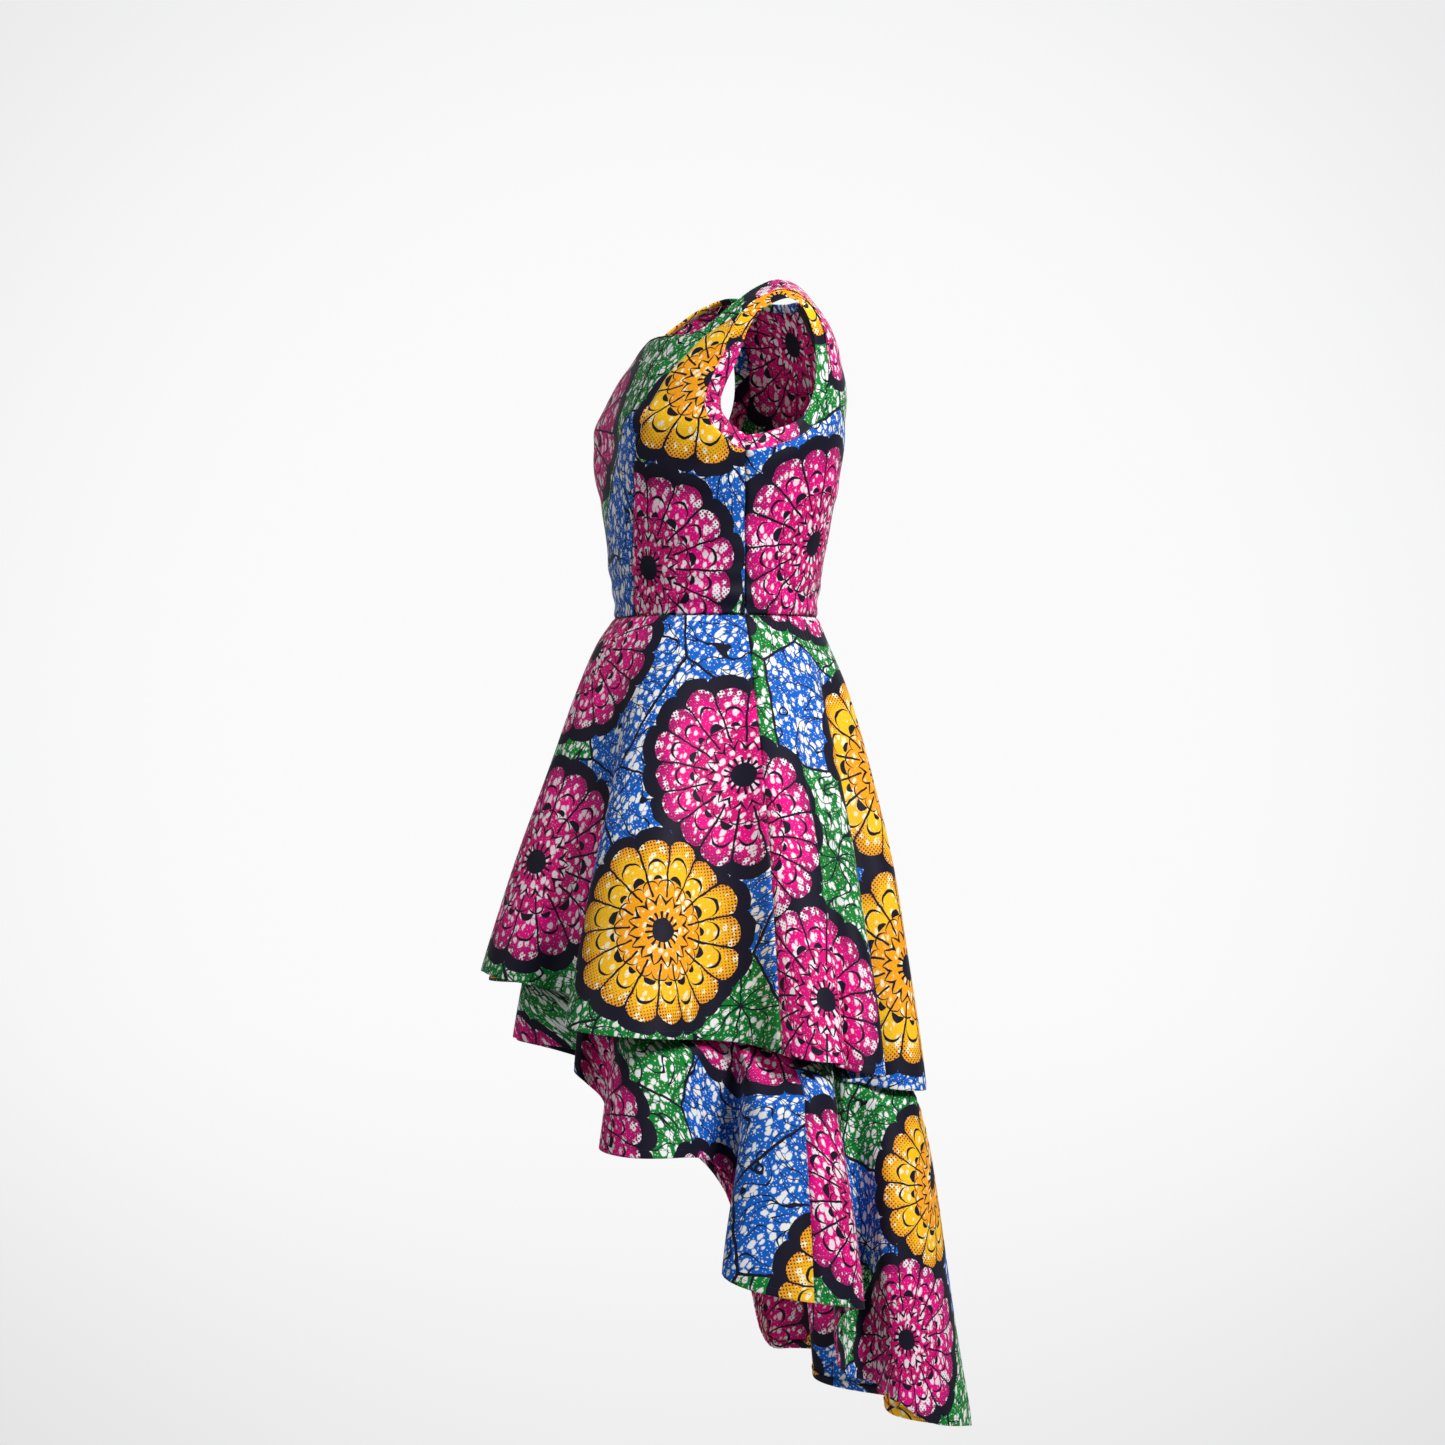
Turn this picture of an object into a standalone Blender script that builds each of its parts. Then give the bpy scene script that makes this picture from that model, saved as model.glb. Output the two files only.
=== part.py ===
"""Sleeveless two-tier dress of printed cotton, short in front and long behind, in its worn form.

The wearer faces -Y, with the wearer's left at +X and +Z up. The origin is midway between the two
shoulder seams, where the wearer holds the dress up. All lengths are in metres.

The bodice is a wall over a general figure, worked out from rings by height and from the curve that
carries each strap over the shoulder. The skirt tiers are walls over widening rings, with a table of
folds that grow downwards. Each cut piece is its own object, a hair apart from its neighbours.
"""

import math

import bpy
import numpy as np

# Driving dimensions
CLOTH = 0.0012
SEAM_GAP = 0.0003
WAIST_Z = -0.362
SHOULDER_TO_AXIS = 0.042
RIDGE_Z_AT_NECK = 0.001
RIDGE_X_AT_NECK = 0.085
RIDGE_SLOPE = -0.42
RIDGE_ROUND = 0.040
FRONT_CHEST_Z = -0.160
BACK_CHEST_Z = -0.130
FRONT_ARCH_POWER = 1.5
BACK_ARCH_POWER = 2.0

CUP_RISE = 0.009
CUP_X = 0.078
CUP_Z = -0.175
CUP_WIDTH = 0.045
CUP_HEIGHT = 0.055

# Steps that slopes are measured over, and the least sum of two rim directions at a corner
NORMAL_STEP = 1e-4
NORMAL_LIFT_LIMIT = 1.985
TIER_NORMAL_STEP = 2e-3
LEAST_MITRE = 0.4

# Rings of the bodice: height, half width, reach to the front, reach to the back, the place of the
# side seam from the axis, and the squareness of the front and the back half
BODICE_RINGS = {
    "z": [-0.362, -0.320, -0.264, -0.210, -0.172, -0.130],
    "half_width": [0.122, 0.126, 0.136, 0.149, 0.157, 0.158],
    "front": [0.1064, 0.1105, 0.1145, 0.1160, 0.1155, 0.1150],
    "back": [0.1142, 0.1160, 0.1235, 0.1305, 0.1335, 0.1345],
    "side_y": [-0.004, -0.005, -0.008, -0.012, -0.014, -0.014],
    "front_power": [2.00, 2.10, 2.20, 2.28, 2.30, 2.30],
    "back_power": [2.00, 2.15, 2.40, 2.60, 2.75, 2.80],
}

# Edges of the cut pieces of the bodice, as sideways distance and height
NECK_FRONT_LOW = [
    (0.000, -0.0570), (0.030, -0.0577), (0.060, -0.0600), (0.080, -0.0610), (0.0925, -0.0580),
    (0.0985, -0.0500),
]
NECK_FRONT_SIDE = [(0.0985, -0.0500), (0.1000, -0.0427), (0.0995, -0.0279), (0.0950, -0.0138)]
NECK_BACK_LOW = [(0.000, -0.0110), (0.030, -0.0100), (0.058, -0.0065)]
NECK_BACK_SIDE = [(0.058, -0.0065), (0.074, -0.0020)]
PRINCESS = [
    (0.035, -0.362),
    (0.050, -0.277),
    (0.072, -0.211),
    (0.088, -0.167),
    (0.094, -0.129),
    (0.098, -0.099),
    (0.108, -0.068),
    (0.1245, -0.040),
]
ARMHOLE_FRONT = [
    (0.1245, -0.040), (0.1323, -0.057), (0.1392, -0.0735), (0.1437, -0.095), (0.1443, -0.116),
    (0.1450, -0.130), (0.1475, -0.147), (0.1514, -0.163), (0.1550, -0.181),
]
ARMHOLE_FRONT_STRAP = [(0.1245, -0.040), (0.1195, -0.0270)]
ARMHOLE_BACK = [
    (0.126, -0.036), (0.130, -0.057), (0.133, -0.082), (0.136, -0.108),
    (0.1405, -0.137), (0.148, -0.165), (0.1545, -0.1835),
]
ARMHOLE_BACK_STRAP = [(0.126, -0.036), (0.1215, -0.0220)]
ARMHOLE_LOW_Z = -0.190
STRAP_IN_X = 0.086
STRAP_OUT_X = 0.119
BODICE_ROWS = 13
FACING_WIDTH = 0.015
FACING_STEPS = 44
FACING_GAP = 0.0010
FACING_SHARES = (0.02, 0.5, 1.0)
FACING_DROPS = (0.0, 0.0014, 0.0040)
FACING_THICKNESS = 0.001

# Mean rings of the two tiers by depth under the waist: half width, front reach, back reach
UPPER_RINGS = {
    "depth": [0.00, 0.03, 0.08, 0.16, 0.25, 0.35, 0.45, 0.54],
    "half_width": [0.1220, 0.1380, 0.1580, 0.1870, 0.2160, 0.2420, 0.2620, 0.2750],
    "front": [0.1064, 0.1280, 0.1480, 0.1720, 0.1990, 0.2240, 0.2430, 0.2580],
    "back": [0.1142, 0.1270, 0.1460, 0.1620, 0.1730, 0.1790, 0.1810, 0.1800],
}
LOWER_RINGS = {
    "depth": [0.00, 0.03, 0.08, 0.16, 0.25, 0.35, 0.45, 0.55, 0.65, 0.75, 0.90],
    "half_width": [
        0.1220, 0.1340, 0.1500, 0.1760, 0.2020, 0.2260, 0.2440, 0.2560, 0.2650, 0.2720, 0.2800,
    ],
    "front": [
        0.1064, 0.1220, 0.1370, 0.1540, 0.1740, 0.1910, 0.2050, 0.2140, 0.2200, 0.2270, 0.2350,
    ],
    "back": [
        0.1142, 0.1230, 0.1390, 0.1550, 0.1660, 0.1740, 0.1790, 0.1870, 0.2000, 0.2140, 0.2330,
    ],
    "fold": [
        0.0000, 0.0016, 0.0052, 0.0115, 0.0190, 0.0280, 0.0370, 0.0430, 0.0470, 0.0500, 0.0550,
    ],
}

# Folds round each tier: the angle from centre front towards the wearer's left, how far that crest
# or hollow stands off the mean ring as a share of the tier's fold depth, and how far it rolls over
UPPER_FOLDS = [
    (0, 0.88, 0.006),
    (25, -1.00, 0.012),
    (47, 1.15, 0.014),
    (76, -1.05, 0.010),
    (98, 0.85, 0.008),
    (108, 0.10, 0.000),
    (118, 0.70, 0.004),
    (129, -0.80, 0.006),
    (144, 0.84, 0.008),
    (162, -0.90, 0.006),
    (180, 0.72, 0.004),
    (199, -0.90, 0.006),
    (219, 1.00, 0.010),
    (242, -1.00, 0.010),
    (265, 1.05, 0.012),
    (290, -1.00, 0.010),
    (314, 1.05, 0.012),
    (337, -0.95, 0.010),
]
LOWER_FOLDS = [
    (0, 0.54, 0.004), (20, -0.80, 0.006), (28, 0.10, 0.002, -0.010), (35, -0.40, 0.004, -0.018),
    (51, 0.95, 0.008), (73, -1.05, 0.010, -0.040), (92, 1.00, 0.034, -0.010),
    (124, -0.81, 0.028, -0.042), (145, 0.90, 0.010), (163, -0.79, 0.006), (181, 0.70, 0.004),
    (203, -1.10, 0.004), (221, 0.95, 0.014), (242, -1.00, 0.018), (265, 1.00, 0.018),
    (290, -0.95, 0.012), (314, 0.74, 0.010), (337, -0.85, 0.006),
]
CREST_WIDENING = 0.008
STEPS_PER_HALF_FOLD = 6
UPPER_FOLD_DEPTH = 0.040
UPPER_FOLD_AT = 0.45
UPPER_FOLD_GROWTH = 1.15
LOWER_ROLL_FROM = 0.38
LOWER_ROLL_TO = 0.72

# Hems of the two tiers, all the way round: angle from centre front, and height
UPPER_HEM = {
    "angle": [0, 25, 47, 76, 98, 118, 144, 180, 216, 242, 262, 284, 313, 335, 360],
    "z": [
        -0.744, -0.766, -0.794, -0.806, -0.822, -0.842, -0.868, -0.884,
        -0.864, -0.834, -0.806, -0.788, -0.772, -0.752, -0.744,
    ],
}
LOWER_HEM = {
    "angle": [
        0, 16, 27, 33, 38, 50, 60, 68, 74, 80, 86, 92, 99, 108, 114, 119, 124, 130, 136,
        140, 145, 152, 160, 165, 172, 181, 192, 203, 212, 220, 227, 232, 236, 240, 244, 250,
        258, 268, 280, 296, 314, 337, 360,
    ],
    "z": [
        -0.816, -0.824, -0.842, -0.868, -0.912, -0.919, -0.921, -0.929, -0.955, -1.022, -1.043,
        -1.062, -1.075, -1.082, -1.104, -1.146, -1.166, -1.176, -1.186, -1.212, -1.227, -1.238,
        -1.232, -1.226, -1.240, -1.252, -1.240, -1.226, -1.216, -1.218, -1.218, -1.190, -1.105,
        -1.020, -0.988, -0.972, -0.950, -0.922, -0.892, -0.866, -0.840, -0.822, -0.816,
    ],
}

UPPER_ROWS = [0.0, 0.05, 0.12, 0.22, 0.36, 0.52, 0.68, 0.84, 1.0]
LOWER_ROWS = [0.0, 0.06, 0.16, 0.30, 0.52, 0.76, 1.0, 1.2, 1.4, 1.6, 1.8, 2.0]
UPPER_HEM_PASS = 0.004

# Room between the tiers, from the waist down: depth and gap
TIER_ROOM = {"depth": [0.0, 0.02, 0.08, 0.30, 0.60], "gap": [0.0018, 0.0030, 0.0060, 0.0110, 0.0135]}
TIER_BLEND = 0.004
WAIST_BLEND_DEPTH = 0.03
TIER_FREE_SLOPE = 1.3
ROOM_BINS = 360
ROOM_REACH = 5
ROOM_DEPTHS = np.linspace(0, 0.54, 28)

# Side seams of the tiers, from centre front towards the wearer's left
UPPER_SIDES = (90, 270)
LOWER_SIDES = (92, 265)

BACK_HEM_Z = min(UPPER_HEM["z"])

# Zip in the centre back seam: it ends at one of the upper tier's rows
ZIP_HALF_WIDTH = 0.009
ZIP_END_ROW = 3
ZIP_DEPTH_UNDER_WAIST = (WAIST_Z - BACK_HEM_Z) * UPPER_ROWS[ZIP_END_ROW]
ZIP_EDGE_DROP = 0.0004
ZIP_SLIT_EDGE = 0.0012
ZIP_SLIT_EASE = 0.008
ZIP_SLIT_CLOSE = 0.060
ZIP_TAPE_THICKNESS = 0.001
ZIP_TOP_DROP = 0.003
SLIDER_Z = -0.026
SLIDER_WIDTH = 0.0072
SLIDER_LENGTH = 0.010
SLIDER_BASE = 0.0012
SLIDER_CHEEK = 0.0010
SLIDER_HEIGHT = 0.0044
SLIDER_LIFT = 0.0004
PULL_HEAD = 0.0012
PULL_LENGTH = 0.024
PULL_WIDTH = 0.0066
PULL_THICKNESS = 0.0011

PRINT_GREEN = (0.02, 0.27, 0.06, 1.0)
PRINT_MAGENTA = (0.72, 0.01, 0.23, 1.0)
PRINT_BLUE = (0.02, 0.11, 0.58, 1.0)
PRINT_YELLOW = (0.93, 0.42, 0.02, 1.0)
ZIP_NAVY = (0.02, 0.02, 0.04, 1.0)
ZIP_METAL = (0.03, 0.03, 0.05, 1.0)


def clear_scene():
    """Take every object out of the open scene."""
    for old in list(bpy.data.objects):
        bpy.data.objects.remove(old, do_unlink=True)


def curve_through(at, places, values):
    """Smooth values at any place: a cubic through a table's rows, with mean slopes at the rows."""
    places = np.asarray(places, float)
    values = np.asarray(values, float)
    steps = np.diff(values) / np.diff(places)
    slopes = np.empty_like(values)
    slopes[0] = steps[0]
    slopes[-1] = steps[-1]
    rising = steps[:-1] * steps[1:] > 0
    slopes[1:-1] = np.where(rising, 2 * steps[:-1] * steps[1:] / (steps[:-1] + steps[1:] + 1e-12), 0)
    at = np.clip(np.asarray(at, float), places[0], places[-1])
    row = np.clip(np.searchsorted(places, at, side="right") - 1, 0, len(places) - 2)
    width = places[row + 1] - places[row]
    share = (at - places[row]) / width
    keep = (1 + 2 * share) * (1 - share) ** 2
    start = share * (1 - share) ** 2 * width
    end = share**2 * (share - 1) * width
    return (
        keep * values[row]
        + start * slopes[row]
        + (1 - keep) * values[row + 1]
        + end * slopes[row + 1]
    )


def smooth_step(value, low, high):
    """0 below low, 1 above high, and a soft S between them."""
    share = np.clip((value - low) / (high - low), 0, 1)
    return share * share * (3 - 2 * share)


def ring_value(name, z):
    """One column of the bodice's ring table at height z."""
    return curve_through(z, BODICE_RINGS["z"], BODICE_RINGS[name])


def ridge_z(x):
    """Height of the shoulder line at a distance sideways: it falls towards the arm, round at the neck."""
    from_neck = np.hypot(x, RIDGE_ROUND) - np.hypot(RIDGE_X_AT_NECK, RIDGE_ROUND)
    return RIDGE_Z_AT_NECK + RIDGE_SLOPE * from_neck


def bodice_ring(angle, z, is_back):
    """Point of a horizontal ring: a squared ellipse, with its own reach in front and behind."""
    power = ring_value("back_power" if is_back else "front_power", z)
    reach = ring_value("back" if is_back else "front", z)
    side_y = ring_value("side_y", z)
    sine = np.sin(angle)
    cosine = np.cos(angle)
    x = ring_value("half_width", z) * np.sign(sine) * np.abs(sine) ** (2 / power)
    share = np.sign(cosine) * np.abs(cosine) ** (2 / power)
    if is_back:
        return x, side_y + (reach - side_y) * share
    return x, side_y - (reach + side_y) * share


def bodice_surface(angle, lift, is_back):
    """Point of the bodice's outer face.

    lift 0 is the waist, 1 the chest and 2 the shoulder line. Up to the chest the point runs up the
    rings. Over it, it keeps its distance sideways and follows a squared quarter arch to the shoulder.
    """
    chest = BACK_CHEST_Z if is_back else FRONT_CHEST_Z
    power = BACK_ARCH_POWER if is_back else FRONT_ARCH_POWER
    ring_z = WAIST_Z + (chest - WAIST_Z) * np.clip(lift, 0, 1)
    x, y = bodice_ring(angle, ring_z, is_back)
    turn = np.clip(lift - 1, 0, 1) * math.pi / 2
    rise = np.sin(turn)
    reach = np.maximum(1 - rise**power, 0) ** (1 / power)
    z = ring_z + (ridge_z(x) - chest) * rise
    y = SHOULDER_TO_AXIS + (y - SHOULDER_TO_AXIS) * reach
    if not is_back:
        sideways = (np.abs(x) - CUP_X) / CUP_WIDTH
        upwards = (z - CUP_Z) / CUP_HEIGHT
        y = y - CUP_RISE * np.exp(-(sideways**2) - upwards**2)
    return np.stack([x, y - SHOULDER_TO_AXIS, z], axis=-1)


def lift_at(x, z, is_back):
    """The lift of a point of the bodice from its distance sideways and its height."""
    chest = BACK_CHEST_Z if is_back else FRONT_CHEST_Z
    below = (z - WAIST_Z) / (chest - WAIST_Z)
    rise = np.clip((z - chest) / (ridge_z(x) - chest), 0, 1)
    return np.where(z <= chest, below, 1 + np.arcsin(rise) / (math.pi / 2))


def angle_at(x, z, is_back):
    """The ring angle of a point of the bodice from its distance sideways and its height."""
    chest = BACK_CHEST_Z if is_back else FRONT_CHEST_Z
    ring_z = np.minimum(z, chest)
    power = ring_value("back_power" if is_back else "front_power", ring_z)
    share = np.clip(np.abs(x) / ring_value("half_width", ring_z), 0, 1)
    return np.arcsin(share ** (power / 2))


def on_bodice(points, is_back):
    """Angle and lift of each (sideways, height) pair of an edge table."""
    x, z = np.asarray(points, float).T
    return np.stack([angle_at(x, z, is_back), lift_at(x, z, is_back)], axis=-1)


def strap_end(x, is_back):
    """Angle and lift on the shoulder line at a distance sideways."""
    chest = BACK_CHEST_Z if is_back else FRONT_CHEST_Z
    return np.array([[angle_at(np.float64(x), np.float64(chest), is_back), 2.0]])


def spread(points, shares):
    """Points at the given shares of the way along a smooth line through some points."""
    points = np.asarray(points, float)
    way = np.concatenate([[0], np.cumsum(np.linalg.norm(np.diff(points, axis=0), axis=1))])
    at = np.asarray(shares) * way[-1]
    return np.stack([curve_through(at, way, points[:, i]) for i in range(2)], axis=-1)


def even(count):
    """Shares 0 to 1 in a number of equal steps."""
    return np.linspace(0, 1, count + 1)


def patch(low, high, left, right):
    """Grid between four edges: the mean of the two rulings less the bilinear part of the corners."""
    across = np.linspace(0, 1, len(low))[None, :, None]
    up = np.linspace(0, 1, len(left))[:, None, None]
    rows = (1 - up) * low[None] + up * high[None]
    columns = (1 - across) * left[:, None] + across * right[:, None]
    corners = (
        (1 - up) * (1 - across) * low[0]
        + (1 - up) * across * low[-1]
        + up * (1 - across) * high[0]
        + up * across * high[-1]
    )
    return rows + columns - corners


def surface_normals(surface, first, second):
    """Outward unit normals of a surface of two parameters, by small steps to both sides."""
    along = surface(first + NORMAL_STEP, second) - surface(first - NORMAL_STEP, second)
    up = surface(first, second + NORMAL_STEP) - surface(first, second - NORMAL_STEP)
    normals = np.cross(along, up)
    return normals / np.linalg.norm(normals, axis=-1, keepdims=True)


def grid_quads(rows, columns, wrap=False):
    """Quads of a grid with its rows one after another."""
    index = np.arange(rows * columns).reshape(rows, columns)
    if wrap:
        index = np.concatenate([index, index[:, :1]], axis=1)
    low_left = index[:-1, :-1].ravel()
    low_right = index[:-1, 1:].ravel()
    top_right = index[1:, 1:].ravel()
    top_left = index[1:, :-1].ravel()
    return np.stack([low_left, low_right, top_right, top_left], axis=1)


def rim_edges(quads):
    """Edges that only one quad has, each in the direction that its quad runs."""
    ends = np.concatenate([quads[:, [i, (i + 1) % 4]] for i in range(4)])
    key = np.sort(ends, axis=1)
    _, first, count = np.unique(key, axis=0, return_index=True, return_counts=True)
    return ends[first[count == 1]]


def draw_in(points, normals, quads, distance):
    """Pull the rim of a sheet in along the cloth, so that pieces stay apart at their seams."""
    rim = rim_edges(quads)
    along = points[rim[:, 1]] - points[rim[:, 0]]
    inward = np.cross(normals[rim[:, 0]] + normals[rim[:, 1]], along)
    inward /= np.linalg.norm(inward, axis=1, keepdims=True)
    before = np.zeros_like(points)
    after = np.zeros_like(points)
    before[rim[:, 1]] = inward
    after[rim[:, 0]] = inward
    both = 1 + np.sum(before * after, axis=1, keepdims=True)
    moved = points + distance * (before + after) / np.maximum(both, LEAST_MITRE)
    on_rim = np.zeros(len(points), bool)
    on_rim[rim.ravel()] = True
    return np.where(on_rim[:, None], moved, points)


def weld_points(points, normals, quads):
    """Join points that lie together, where two blocks of one piece meet."""
    _, first, index = np.unique(np.round(points, 6), axis=0, return_index=True, return_inverse=True)
    return points[first], normals[first], index.ravel()[quads]


def cloth_material(name, colour, roughness=0.75, metallic=0.0):
    """Plain Principled material in the piece's main colour."""
    material = bpy.data.materials.new(name)
    material.use_nodes = True
    shader = material.node_tree.nodes["Principled BSDF"]
    shader.inputs["Base Color"].default_value = colour
    shader.inputs["Roughness"].default_value = roughness
    shader.inputs["Metallic"].default_value = metallic
    return material


def add_object(name, verts, faces, material):
    """A named mesh object in the scene."""
    mesh = bpy.data.meshes.new(name)
    mesh.from_pydata([tuple(v) for v in verts], [], [tuple(int(i) for i in f) for f in faces])
    mesh.validate()
    mesh.shade_smooth()
    mesh.set_sharp_from_angle(angle=math.radians(40))
    mesh.materials.append(material)
    piece = bpy.data.objects.new(name, mesh)
    bpy.context.scene.collection.objects.link(piece)
    return piece


def wall(name, points, normals, quads, material, thickness=CLOTH, depth=0.0, gap=SEAM_GAP):
    """Closed wall of cloth: the outer sheet, a copy moved inwards, and a strip round the rim."""
    points = draw_in(points, normals, quads, gap / 2)
    outer = points - normals * depth
    inner = points - normals * (depth + thickness)
    count = len(points)
    rim = rim_edges(quads)
    strip = np.stack([rim[:, 1], rim[:, 0], rim[:, 0] + count, rim[:, 1] + count], axis=1)
    halves = np.concatenate([quads[:, [0, 1, 2]], quads[:, [0, 2, 3]]])
    faces = halves.tolist() + (halves[:, ::-1] + count).tolist() + strip.tolist()
    return add_object(name, np.concatenate([outer, inner]), faces, material)


def bodice_block(grid, is_back, side=1):
    """Points, normals and quads of one block of the bodice from its grid of angle and lift."""
    angle = grid[..., 0]
    lift = grid[..., 1]
    rows, columns = angle.shape

    def surface(first, second):
        return bodice_surface(first, np.minimum(second, 2.0), is_back)

    points = surface(angle, lift).reshape(-1, 3)
    level = np.minimum(lift, NORMAL_LIFT_LIMIT)
    normals = surface_normals(surface, np.maximum(angle, 2 * NORMAL_STEP), level).reshape(-1, 3)
    quads = grid_quads(rows, columns)
    if is_back:
        normals = -normals
        quads = quads[:, ::-1]
    if side < 0:
        points = points * [-1, 1, 1]
        normals = normals * [-1, 1, 1]
        quads = quads[:, ::-1]
    return points, normals, quads


def join_blocks(blocks):
    """One sheet from several blocks that share some of their rim points."""
    start = np.cumsum([0] + [len(block[0]) for block in blocks[:-1]])
    points = np.concatenate([block[0] for block in blocks])
    normals = np.concatenate([block[1] for block in blocks])
    quads = np.concatenate([block[2] + offset for block, offset in zip(blocks, start)])
    return weld_points(points, normals, quads)


def front_grids():
    """Grids of the left half of the centre front: the body of the piece, and its strap."""
    neck = on_bodice(NECK_FRONT_LOW, False)
    base = np.stack([neck[-1], on_bodice(PRINCESS[-1:], False)[0]])
    rows = even(BODICE_ROWS)
    princess = spread(on_bodice(PRINCESS, False), rows)
    low = np.stack([princess[0, 0] * even(7), np.zeros(8)], axis=-1)
    high = np.concatenate([spread(neck, even(4)), spread(base, even(3))[1:]])
    left = np.stack([np.zeros(len(rows)), neck[0, 1] * rows], axis=-1)
    body = patch(low, high, left, princess)
    inner = np.concatenate([on_bodice(NECK_FRONT_SIDE, False), strap_end(STRAP_IN_X, False)])
    outer = np.concatenate([on_bodice(ARMHOLE_FRONT_STRAP, False), strap_end(STRAP_OUT_X, False)])
    top = spread(np.stack([inner[-1], outer[-1]]), even(3))
    strap = patch(high[4:], top, spread(inner, even(6)), spread(outer, even(6)))
    return body, strap


def side_seam(is_back):
    """The side seam's rows, from the waist to the armhole, at heights that front and back share."""
    heights = WAIST_Z + (ARMHOLE_LOW_Z - WAIST_Z) * even(BODICE_ROWS)
    lifts = lift_at(BODICE_RINGS["half_width"][-2], heights, is_back)
    return np.stack([np.full(len(heights), math.pi / 2), lifts], axis=-1)


def side_front_grid():
    """Grid of a side front: waist, side seam, armhole and princess seam are its four edges."""
    inner = spread(on_bodice(PRINCESS, False), even(BODICE_ROWS))
    right = side_seam(False)
    high = spread(np.concatenate([on_bodice(ARMHOLE_FRONT, False), right[-1:]]), even(8))
    low = np.stack([inner[0, 0] + (math.pi / 2 - inner[0, 0]) * even(8), np.zeros(9)], axis=-1)
    return patch(low, high, inner, right)


def back_grids():
    """Grids of the left back: the body of the piece, and its strap."""
    neck = on_bodice(NECK_BACK_LOW, True)
    arm = on_bodice(ARMHOLE_BACK, True)
    right = side_seam(True)
    base = np.stack([neck[-1], arm[0]])
    arm_edge = spread(np.concatenate([arm, right[-1:]]), even(8))
    high = np.concatenate([spread(neck, even(3)), spread(base, even(4))[1:], arm_edge[1:]])
    low = np.stack([math.pi / 2 * even(15), np.zeros(16)], axis=-1)
    left = np.stack([np.zeros(len(right)), neck[0, 1] * even(BODICE_ROWS)], axis=-1)
    body = patch(low, high, left, right)
    inner = np.concatenate([on_bodice(NECK_BACK_SIDE, True), strap_end(STRAP_IN_X, True)])
    outer = np.concatenate([on_bodice(ARMHOLE_BACK_STRAP, True), strap_end(STRAP_OUT_X, True)])
    top = spread(np.stack([inner[-1], outer[-1]]), even(4))
    strap = patch(high[3:8], top, spread(inner, even(3)), spread(outer, even(3)))
    return body, strap


def make_bodice(green, blue, magenta):
    """The five shell pieces of the bodice."""
    body, strap = front_grids()
    blocks = [bodice_block(grid, False, side) for grid in (body, strap) for side in (1, -1)]
    wall("bodice_front", *join_blocks(blocks), green)
    for side, word in ((1, "left"), (-1, "right")):
        wall("bodice_side_" + word, *bodice_block(side_front_grid(), False, side), blue)
        back = [bodice_block(grid, True, side) for grid in back_grids()]
        wall("bodice_back_" + word, *join_blocks(back), magenta)


def armhole_edge():
    """Closed loop of the left armhole's edge: points, normals, and the way into the cloth."""
    corner_front = side_seam(False)[-1:]
    corner_back = side_seam(True)[-1:]
    strap_front = on_bodice(ARMHOLE_FRONT_STRAP, False)[1:]
    front = np.concatenate(
        [corner_front, on_bodice(ARMHOLE_FRONT, False)[::-1], strap_front, strap_end(STRAP_OUT_X, False)]
    )
    strap_back = on_bodice(ARMHOLE_BACK_STRAP, True)[::-1][:1]
    back = np.concatenate(
        [strap_end(STRAP_OUT_X, True), strap_back, on_bodice(ARMHOLE_BACK, True), corner_back]
    )
    half = FACING_STEPS // 2
    sheets = []
    for line, is_back in ((front, False), (back, True)):
        grid = spread(line, even(half))[None]
        points, normals, _ = bodice_block(np.concatenate([grid, grid]), is_back)
        sheets.append((points[: half + 1], normals[: half + 1]))
    points = np.concatenate([sheets[0][0][:-1], sheets[1][0][:-1]])
    normals = np.concatenate([sheets[0][1][:-1], sheets[1][1][:-1]])
    for _ in range(2):
        normals = np.roll(normals, 1, axis=0) + 2 * normals + np.roll(normals, -1, axis=0)
        normals /= np.linalg.norm(normals, axis=1, keepdims=True)
    along = np.roll(points, -1, axis=0) - np.roll(points, 1, axis=0)
    into = np.cross(along, normals)
    into /= np.linalg.norm(into, axis=1, keepdims=True)
    return points, normals, into


def make_facings(yellow):
    """A flat strip round the inside of each armhole, under the bodice's own wall."""
    points, normals, into = armhole_edge()
    depth = CLOTH + FACING_GAP
    sheet = np.stack([points + into * share * FACING_WIDTH for share in FACING_SHARES])
    drop = np.stack([normals * curve for curve in FACING_DROPS])
    sheet = sheet - drop
    quads = grid_quads(len(FACING_SHARES), len(points), wrap=True)
    spread_normals = np.tile(normals, (len(FACING_SHARES), 1))
    for side, word in ((1, "left"), (-1, "right")):
        place = sheet.reshape(-1, 3) * [side, 1, 1]
        facing = spread_normals * [side, 1, 1]
        turned = quads[:, ::-1] if side > 0 else quads
        name = "armhole_facing_" + word
        wall(name, place, facing, turned, yellow, thickness=FACING_THICKNESS, depth=depth)


def tier_ring(rings, angle, depth):
    """Point of a tier's mean ring and its outward direction, at an angle from centre front."""
    half_width = curve_through(depth, rings["depth"], rings["half_width"])
    front = curve_through(depth, rings["depth"], rings["front"])
    back = curve_through(depth, rings["depth"], rings["back"])
    side_y = BODICE_RINGS["side_y"][0]
    cosine = np.cos(angle)
    reach = np.where(cosine > 0, front + side_y, back - side_y)
    point = np.stack([half_width * np.sin(angle), side_y - reach * cosine], axis=-1)
    out = np.stack([reach * np.sin(angle), -half_width * cosine], axis=-1)
    return point, out / np.linalg.norm(out, axis=-1, keepdims=True)


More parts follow.
